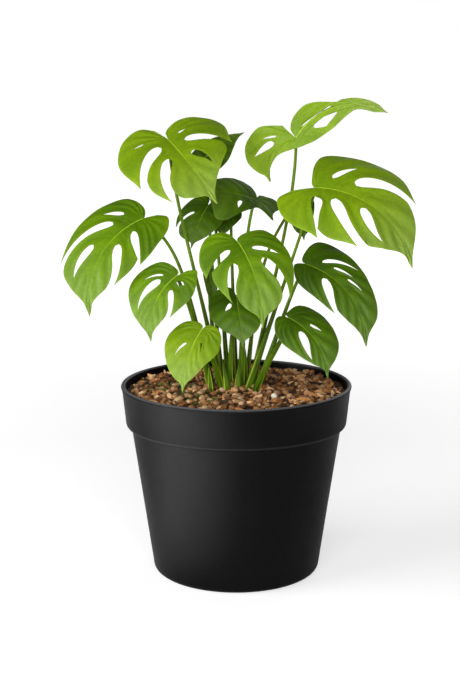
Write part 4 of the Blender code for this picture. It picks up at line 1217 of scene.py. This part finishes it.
def leaf_blade(leaf):
    """The whole blade as one closed mesh, with its vein numbers in two UV maps."""
    pose = Pose(leaf)
    sheet = Sheet(pose.length)
    for half, side in ((leaf.left, 1.0), (leaf.right, -1.0)):
        sheet.add_half(FlatHalf(half, pose.length), half.splits, side)
    flat = np.array(sheet.points)
    rib = np.zeros(len(flat))
    for face, ribs in zip(sheet.faces, sheet.ribs):
        rib[face] = ribs
    middle = np.array([pose.place(x, y) for x, y, _ in flat])
    out = flat[:, 2]
    up = normals_of(middle, sheet.faces)
    if np.dot(up.mean(axis=0), leaf.facing) < 0:
        up = -up
        sheet.faces = [face[::-1] for face in sheet.faces]
        sheet.ribs = [ribs[::-1] for ribs in sheet.ribs]
    room = vein_room(sheet, flat)
    depth = np.minimum(PLEAT_DEPTH * pose.length, PLEAT_SHARE * room)
    lift = depth * (pleat_height(rib, out) - PLEAT_SINK * smooth_step(out, *PLEAT_STARTS))
    middle = middle + up * lift[:, None]
    up = normals_of(middle, sheet.faces)
    edges = rim_edges(sheet.faces)
    thick = np.full(len(flat), BLADE_THICKNESS)
    thick[[i for edge in edges for i in edge]] = MARGIN_THICKNESS
    share = np.clip(flat[:, 0] / pose.length, 0.0, 1.0)
    near_rib = (out == 0.0) * (1.0 - MIDRIB_TAPER * share)
    top = middle + up * (thick / 2 - GROOVE_DEPTH * near_rib)[:, None]
    under = middle - up * (thick / 2 + MIDRIB_HEIGHT * near_rib)[:, None]
    count = len(flat)
    faces = sheet.faces + [[i + count for i in face[::-1]] for face in sheet.faces]
    faces += [[b, a, a + count, b + count] for a, b in edges]
    blade = new_mesh(leaf.name + "_leaf", np.vstack([top, under]) * MM, faces, True)
    write_blade_maps(blade, sheet, flat, edges, rib, pose.length)
    store_values(blade, "underside", [0.0] * count + [1.0] * count)
    store_values(blade, "quilt", np.tile(np.clip(room / WIDE_QUILT, 0.0, 1.0), 2))
    return blade


print("blade", BLADE_THICKNESS, "mm, margin", MARGIN_THICKNESS, "mm")

# %% Vein numbers on the mesh
CENTIMETRE = 10.0  # in mm


def store_values(obj, name, values):
    """A number at every point of the mesh, for its finish to read."""
    obj.data.attributes.new(name, "FLOAT", "POINT").data.foreach_set("value", values)


def store_map(obj, name, pairs):
    """A UV map: two numbers at every corner of every face."""
    obj.data.uv_layers.new(name=name).data.foreach_set("uv", [v for pair in pairs for v in pair])


def write_blade_maps(blade, sheet, flat, edges, rib, length):
    """Map veins holds (vein count, out), and run holds (share of midrib, cm off it)."""
    corners = [list(zip(face, ribs)) for face, ribs in zip(sheet.faces, sheet.ribs)]
    corners += [pairs[::-1] for pairs in corners]
    corners += [[(b, rib[b]), (a, rib[a]), (a, rib[a]), (b, rib[b])] for a, b in edges]
    corners = [pair for pairs in corners for pair in pairs]
    store_map(blade, "veins", [(r, flat[i][2]) for i, r in corners])
    store_map(blade, "run", [(flat[i][0] / length, abs(flat[i][1]) / CENTIMETRE) for i, _ in corners])
    count, rim_start = len(flat), 2 * len(sheet.faces)
    sharp = {frozenset(e) for f in list(blade.data.polygons)[rim_start:] for e in f.edge_keys
             if (e[0] < count) == (e[1] < count)}
    for edge in blade.data.edges:
        edge.use_edge_sharp = frozenset(edge.vertices) in sharp


blades = {leaf.name: leaf_blade(leaf) for leaf in LEAVES}
print("leaves:", len(blades), "faces:", sum(len(b.data.polygons) for b in blades.values()))

# %% [markdown]
# Every leaf shares one effect, in three greens. It takes the vein numbers and gives a
# colour, a height and a roughness. The colour is deeper in the valleys along the side
# veins and near the stalk, which is painted shade, and paler at the tip, which is a
# painted sheen. The margin and the midrib are paler in their own colour. The height is
# shallow, because the pleats are in the mesh already, and a strong bump sparkles on
# leaves that are seen edge-on. The underside is paler and duller. Each finish could
# have a tree of its own, but one shared group keeps them alike, as on one plant.

# %% Shared effect: leaf tissue
# Valley is the darker green of painted shade and of random patches, Sheen the paler green of a painted sheen;
# the others are the leaf's own colours.
TONES = ("Blade", "Valley", "Midrib", "Margin", "Sheen", "Back")
VEIN_HALF, VALLEY_HALF = (0.0, 0.06), (0.0, 0.36)  # off the vein, in vein spaces
VEIN_FADES, MARGIN_STARTS = (0.45, 1.0), (0.93, 1.0)  # out from the midrib
MIDRIB_HALF = (0.015, 0.05)  # centimetres
MIDRIB_FADES, TIP_STARTS = (0.1, 0.65), (0.3, 1.0)  # along the midrib
MIDRIB_FOOT, NECK_CENTRE, NECK_REACH = 0.01, 0.08, 0.28
MIDRIB_SHARE, MIDRIB_LEFT = 0.85, 0.1
VALLEY_DIP = MIDRIB_DIP = -0.4
BACK_DULLNESS, PATCH_DULLNESS, LEAF_ROUGHNESS = 0.22, 0.1, 0.42
LEAF_PATCHES, LEAF_MOTTLE = (70.0, 0.0, 1.0), (420.0, 0.9, 1.08)  # per metre, least and most

tissue, given, gives = new_group(
    "leaf_tissue",
    [("Veins", "Vector"), ("Run", "Vector"), ("Place", "Vector"), ("Underside", "Float"),
     ("Quilt", "Float")] + [(tone, "Color") for tone in TONES],
    [("Colour", "Color"), ("Height", "Float"), ("Roughness", "Float")])


def product(first, *others):
    """Masks of the leaf multiplied with one another."""
    for other in others:
        first = calc(tissue, "MULTIPLY", first, other)
    return first


vein = shader_node(tissue, "SeparateXYZ", {0: given["Veins"]}).outputs
run = shader_node(tissue, "SeparateXYZ", {0: given["Run"]}).outputs
off_vein = calc(tissue, "ABSOLUTE", calc(tissue, "SUBTRACT", calc(tissue, "FRACT", vein["X"]), 0.5))
on_vein = ranged(tissue, off_vein, *VEIN_HALF, 1.0, 0.0)
# valley: the strip along each side vein. Its darker colour is painted shade in the crease; its dip in Height
# is a real bump.
valley = ranged(tissue, off_vein, *VALLEY_HALF, 1.0, 0.0)
fades = ranged(tissue, vein["Y"], *VEIN_FADES, 1.0, 0.0)
at_margin = ranged(tissue, vein["Y"], *MARGIN_STARTS, 0.0, 1.0)
patch = patchy(tissue, given["Place"], *LEAF_PATCHES)
mottle = patchy(tissue, given["Place"], *LEAF_MOTTLE)
# toward_tip: the outer part of the blade, paled towards the Sheen tone as a painted sheen.
toward_tip = ranged(tissue, run["X"], *TIP_STARTS, 0.0, 1.0)
# at_neck: the blade near the stalk, which faces up; it is darkened as painted shade.
off_neck = calc(tissue, "ABSOLUTE", calc(tissue, "SUBTRACT", run["X"], NECK_CENTRE))
at_neck = ranged(tissue, off_neck, 0.0, NECK_REACH, 1.0, 0.0)
midrib = product(ranged(tissue, run["Y"], *MIDRIB_HALF, 1.0, 0.0),
                 ranged(tissue, run["X"], -MIDRIB_FOOT, MIDRIB_FOOT, 0.0, MIDRIB_SHARE),
                 ranged(tissue, run["X"], *MIDRIB_FADES, 1.0, MIDRIB_LEFT))
print("masks of the leaf:", len(tissue.nodes), "nodes")

# %% The leaf's colour, height and roughness
# Painted shade and sheen: valley and at_neck darken towards the Valley tone as painted shade, toward_tip
# pales towards the Sheen tone as a painted sheen. patch is random tone.
LAYERS = ((valley, 0.45, "Valley"), (patch, 0.4, "Valley"), (at_neck, 0.7, "Valley"),
          (toward_tip, 0.5, "Sheen"), (at_margin, 0.35, "Margin"), (product(on_vein, fades), 0.22, "Margin"))

shade = given["Blade"]
for mask, share, tone in LAYERS:
    shade = mixed(tissue, product(mask, share), shade, given[tone])
shade = mixed(tissue, midrib, shade, given["Midrib"])
shade = mixed(tissue, 1.0, shade, mottle, "MULTIPLY")
tissue.links.new(mixed(tissue, given["Underside"], shade, given["Back"]), gives["Colour"])
tissue.links.new(calc(tissue, "ADD", product(valley, VALLEY_DIP, given["Quilt"]),
                      product(midrib, MIDRIB_DIP)), gives["Height"])
dull = calc(tissue, "ADD", product(given["Underside"], BACK_DULLNESS), LEAF_ROUGHNESS)
tissue.links.new(calc(tissue, "ADD", product(patch, PATCH_DULLNESS), dull), gives["Roughness"])
print("leaf tissue nodes:", len(tissue.nodes))

# %% Three greens
# One leaf green at three brightnesses: the mid and deep greens are darker as painted shade, for leaves that
# lie under or behind the top ones.
LEAF_GREENS = {  # in the order of TONES
    "bright": ((124, 154, 12), (98, 130, 4), (168, 196, 48), (144, 176, 22), (140, 164, 84), (122, 146, 50)),
    "mid": ((106, 142, 2), (64, 98, 0), (156, 186, 40), (130, 164, 12), (128, 156, 66), (106, 134, 46)),
    "deep": ((78, 112, 0), (42, 68, 0), (120, 150, 30), (98, 132, 6), (98, 126, 48), (82, 110, 40)),
}


def own_map(tree, name):
    """A UV map of the mesh, as a place."""
    return shader_node(tree, "UVMap", {}, uv_map=name).outputs["UV"]


def own_value(tree, name):
    """A number that the mesh holds at its points."""
    return shader_node(tree, "Attribute", {}, attribute_name=name).outputs["Fac"]


def leaf_material(name, greens):
    """One of the plant's leaf finishes."""
    material, tree, skin, place = new_material(name, specular=0.22)
    inputs = {"Veins": own_map(tree, "veins"), "Run": own_map(tree, "run"), "Place": place,
              "Underside": own_value(tree, "underside"), "Quilt": own_value(tree, "quilt")}
    inputs.update((tone, srgb(*green)) for tone, green in zip(TONES, greens))
    found = use_group(tree, tissue, inputs)
    tree.links.new(found["Colour"], skin["Base Color"])
    tree.links.new(found["Roughness"], skin["Roughness"])
    bumped(tree, skin, found["Height"], strength=0.25, depth=0.0001)
    return material


leaf_finish = {name: leaf_material("leaf_" + name, greens) for name, greens in LEAF_GREENS.items()}
for leaf in LEAVES:
    finish_piece(blades[leaf.name], leaf_finish[leaf.colour], "leaf_" + leaf.colour, leaf.name + "_blade")
print("finishes:", [m.name for m in leaf_finish.values()])

# %% [markdown]
# A leaf stalk isn't a round pipe. It has a groove along one side, and low down it
# opens into a sheath with two thin wings that clasp the next stalk. So a section with a
# groove and two wings is swept along the stalk's own curve, and the wings fade out
# upwards. A bevelled curve is quicker, but it can't change its section on the way.

# %% Course of a stalk
BURIED_DEPTH = 14.0
SHEATH_LENGTH = 56.0
STALK_TIP_RADIUS = 1.08
STALK_SWELL = 1.25
SHEATH_RATE, SHEATH_FALL = 2.0, 1.3
ARRIVE_UNDER = 0.6
ARRIVE_UPRIGHT = 0.8
ARRIVE_SHORT = 0.6  # stalk radii that it ends before the blade
FOOT_SPLAY = 0.012
STALK_STATIONS = 46
SHOOT_CURVE = 1.6
SHOOT_TAPER = 1.7
SHOOT_TIP = 0.04


def stalk_path(leaf):
    """Centre line and radius of a leaf stalk, from under the bark to the blade."""
    pose = Pose(leaf)
    normal = pose.turned @ pose.spine(0.0)[1][:, 2]
    lean, rise_share, arrive_share, outward = leaf.course
    foot = np.array([leaf.foot[0], leaf.foot[1], CROWN_HEIGHT])
    away = unit((pose.base - foot) * np.array([1.0, 1.0, 0.0]))
    arrive = unit(ARRIVE_UNDER * normal + np.array([0.0, 0.0, ARRIVE_UPRIGHT]) + outward * away)
    end = pose.base - arrive * STALK_TIP_RADIUS * ARRIVE_SHORT
    reach = np.linalg.norm(end - foot)
    upright = unit((leaf.foot[0] * FOOT_SPLAY, leaf.foot[1] * FOOT_SPLAY, 1.0))
    rising = unit(upright * (1.0 - lean) + unit(end - foot) * lean)
    first = foot + rising * reach * rise_share
    second = end - arrive * reach * arrive_share
    path = [foot - np.array([0.0, 0.0, BURIED_DEPTH])]
    radii = [leaf.foot_radius]
    for t in np.linspace(0.0, 1.0, STALK_STATIONS):
        path.append((1 - t) ** 3 * foot + 3 * (1 - t) ** 2 * t * first
                    + 3 * (1 - t) * t * t * second + t ** 3 * end)
        above = max(path[-1][2] - CROWN_HEIGHT, 0.0)
        sheath = math.exp(-SHEATH_RATE * (above / SHEATH_LENGTH) ** SHEATH_FALL)
        plain = STALK_TIP_RADIUS * (STALK_SWELL + (1.0 - STALK_SWELL) * t)
        radii.append(plain + (leaf.foot_radius - plain) * sheath)
    return np.array(path), np.array(radii)


def shoot_path(shoot):
    """Centre line and radius of a young shoot, a pointed sheath."""
    foot = np.array([shoot.foot[0], shoot.foot[1], CROWN_HEIGHT - BURIED_DEPTH])
    tip = np.array([shoot.tip[0], shoot.tip[1], CROWN_HEIGHT + shoot.height])
    path, radii = [], []
    for t in np.linspace(0.0, 1.0, STALK_STATIONS // 2):
        path.append(foot + (tip - foot) * np.array([t ** SHOOT_CURVE, t ** SHOOT_CURVE, t]))
        above = max(path[-1][2] - CROWN_HEIGHT, 0.0) / shoot.height
        radii.append(shoot.radius * max(1.0 - above ** SHOOT_TAPER, SHOOT_TIP))
    return np.array(path), np.array(radii)


print("longest stalk:", round(max(float(np.linalg.norm(np.diff(stalk_path(f)[0], axis=0), axis=1).sum())
                                  for f in LEAVES), 1), "mm")

# %% Sweep a grooved section
STALK_SIDES = 20
GROOVE_WIDTH = 0.55
WING_ANGLE = 0.85
WING_WIDTH = 0.30
WING_REACH = 0.5
SHEATH_PINCH = 0.16
GROOVE_SHARE = 0.28
GROOVE_ABOVE = 0.4  # of the groove, where the sheath has closed
STALK_MAP_UNIT = 100.0  # mm
STALK_SEED = 5


def bump_at(angle, middle, width):
    """A soft bump round one angle of a section."""
    off = (angle - middle + math.pi) % (2 * math.pi) - math.pi
    return math.exp(-(off / width) ** 2)


def sweep(name, path, radii, sheath, facing):
    """A stalk: the section turns its groove to facing, and sheath is how open it is."""
    forward = np.gradient(path, axis=0)
    forward /= np.linalg.norm(forward, axis=1)[:, None]
    points, faces, wings = [], [], []
    run = np.concatenate([[0.0], np.cumsum(np.linalg.norm(np.diff(path, axis=0), axis=1))])
    front = unit(facing)
    for centre, way, radius, open_by in zip(path, forward, radii, sheath):
        front = unit(front - way * np.dot(front, way))
        across = np.cross(way, front)
        for k in range(STALK_SIDES):
            angle = 2 * math.pi * k / STALK_SIDES
            wing = bump_at(angle, WING_ANGLE, WING_WIDTH) + bump_at(angle, -WING_ANGLE, WING_WIDTH)
            dip = bump_at(angle, 0.0, GROOVE_WIDTH) * (GROOVE_ABOVE + (1.0 - GROOVE_ABOVE) * open_by)
            reach = radius * (1.0 + (WING_REACH * wing - SHEATH_PINCH) * open_by - GROOVE_SHARE * dip)
            points.append(centre + (front * math.cos(angle) + across * math.sin(angle)) * reach)
            wings.append(min(wing, 1.0) * open_by)
    for i in range(len(path) - 1):
        for k in range(STALK_SIDES):
            a, b = i * STALK_SIDES + k, i * STALK_SIDES + (k + 1) % STALK_SIDES
            faces.append((a, b, b + STALK_SIDES, a + STALK_SIDES))
    end = (len(path) - 1) * STALK_SIDES
    faces += [tuple(reversed(range(STALK_SIDES))), tuple(end + k for k in range(STALK_SIDES))]
    obj = new_mesh(name, np.array(points) * MM, faces, True)
    store_values(obj, "wing", wings)
    spots = [divmod(loop.vertex_index, STALK_SIDES) for loop in obj.data.loops]
    store_map(obj, "rise", [(k / STALK_SIDES, run[i] / STALK_MAP_UNIT) for i, k in spots])
    return obj


# A shoot is all sheath, so its sheath never closes.
plans = [(leaf.name + "_petiole", leaf.name + "_stalk", SHEATH_LENGTH, *stalk_path(leaf)) for leaf in LEAVES]
plans += [("young_shoot_" + shoot.name, "shoot_" + shoot.name, math.inf, *shoot_path(shoot))
          for shoot in SHOOTS]
stems = []
random = np.random.default_rng(STALK_SEED)
for name, node, sheath_length, path, radii in plans:
    open_by = np.exp(-(np.maximum(path[:, 2] - CROWN_HEIGHT, 0.0) / sheath_length) ** 2)
    turn = random.uniform(0, 2 * math.pi)
    stems.append((sweep(name, path, radii, open_by, (math.cos(turn), math.sin(turn), 0.0)), node))
print("stems:", len(stems))

# %% [markdown]
# Stalks are fresh green above and deeper below, streaked lengthwise, and the thin edges
# of their sheaths catch the light in yellow green. The streaks are noise pulled long
# along the stalk. Only a map that runs with the stalk can do that, so the sweep wrote one.

# %% Stalk finish
LOW_GREENS = (srgb(44, 68, 2), srgb(84, 116, 6))
HIGH_GREENS = (srgb(78, 108, 4), srgb(116, 150, 14))
WING_GREEN = srgb(172, 190, 40)
STREAK_STRETCH = (9.0, 2.0, 1.0)
STREAK_RANGE = (0.35, 0.65)
UPPER_STALK = (0.145, 0.24)  # heights in metres
WING_EDGE, WING_SHARE = (0.45, 0.85), 0.9

stalk_skin, tree, skin, place = new_material("stalk_green", roughness=0.5, specular=0.15)
pulled = shader_node(tree, "Mapping", {"Vector": own_map(tree, "rise"), "Scale": STREAK_STRETCH}).outputs[0]
noise = shader_node(tree, "TexNoise", {"Vector": pulled, "Scale": 2.0, "Detail": 3.0}).outputs["Fac"]
streak = ranged(tree, noise, *STREAK_RANGE, 0.0, 1.0)
level = shader_node(tree, "SeparateXYZ", {0: place}).outputs["Z"]
body = mixed(tree, ranged(tree, level, *UPPER_STALK, 0.0, 1.0), mixed(tree, streak, *LOW_GREENS),
             mixed(tree, streak, *HIGH_GREENS))
on_wing = ranged(tree, own_value(tree, "wing"), *WING_EDGE, 0.0, WING_SHARE)
tree.links.new(mixed(tree, on_wing, body, WING_GREEN), skin["Base Color"])
bumped(tree, skin, noise, strength=0.4, depth=0.0004)
for obj, node in stems:
    finish_piece(obj, stalk_skin, "stalk_green", node)
print("stalk finish on", len(stems), "stems")
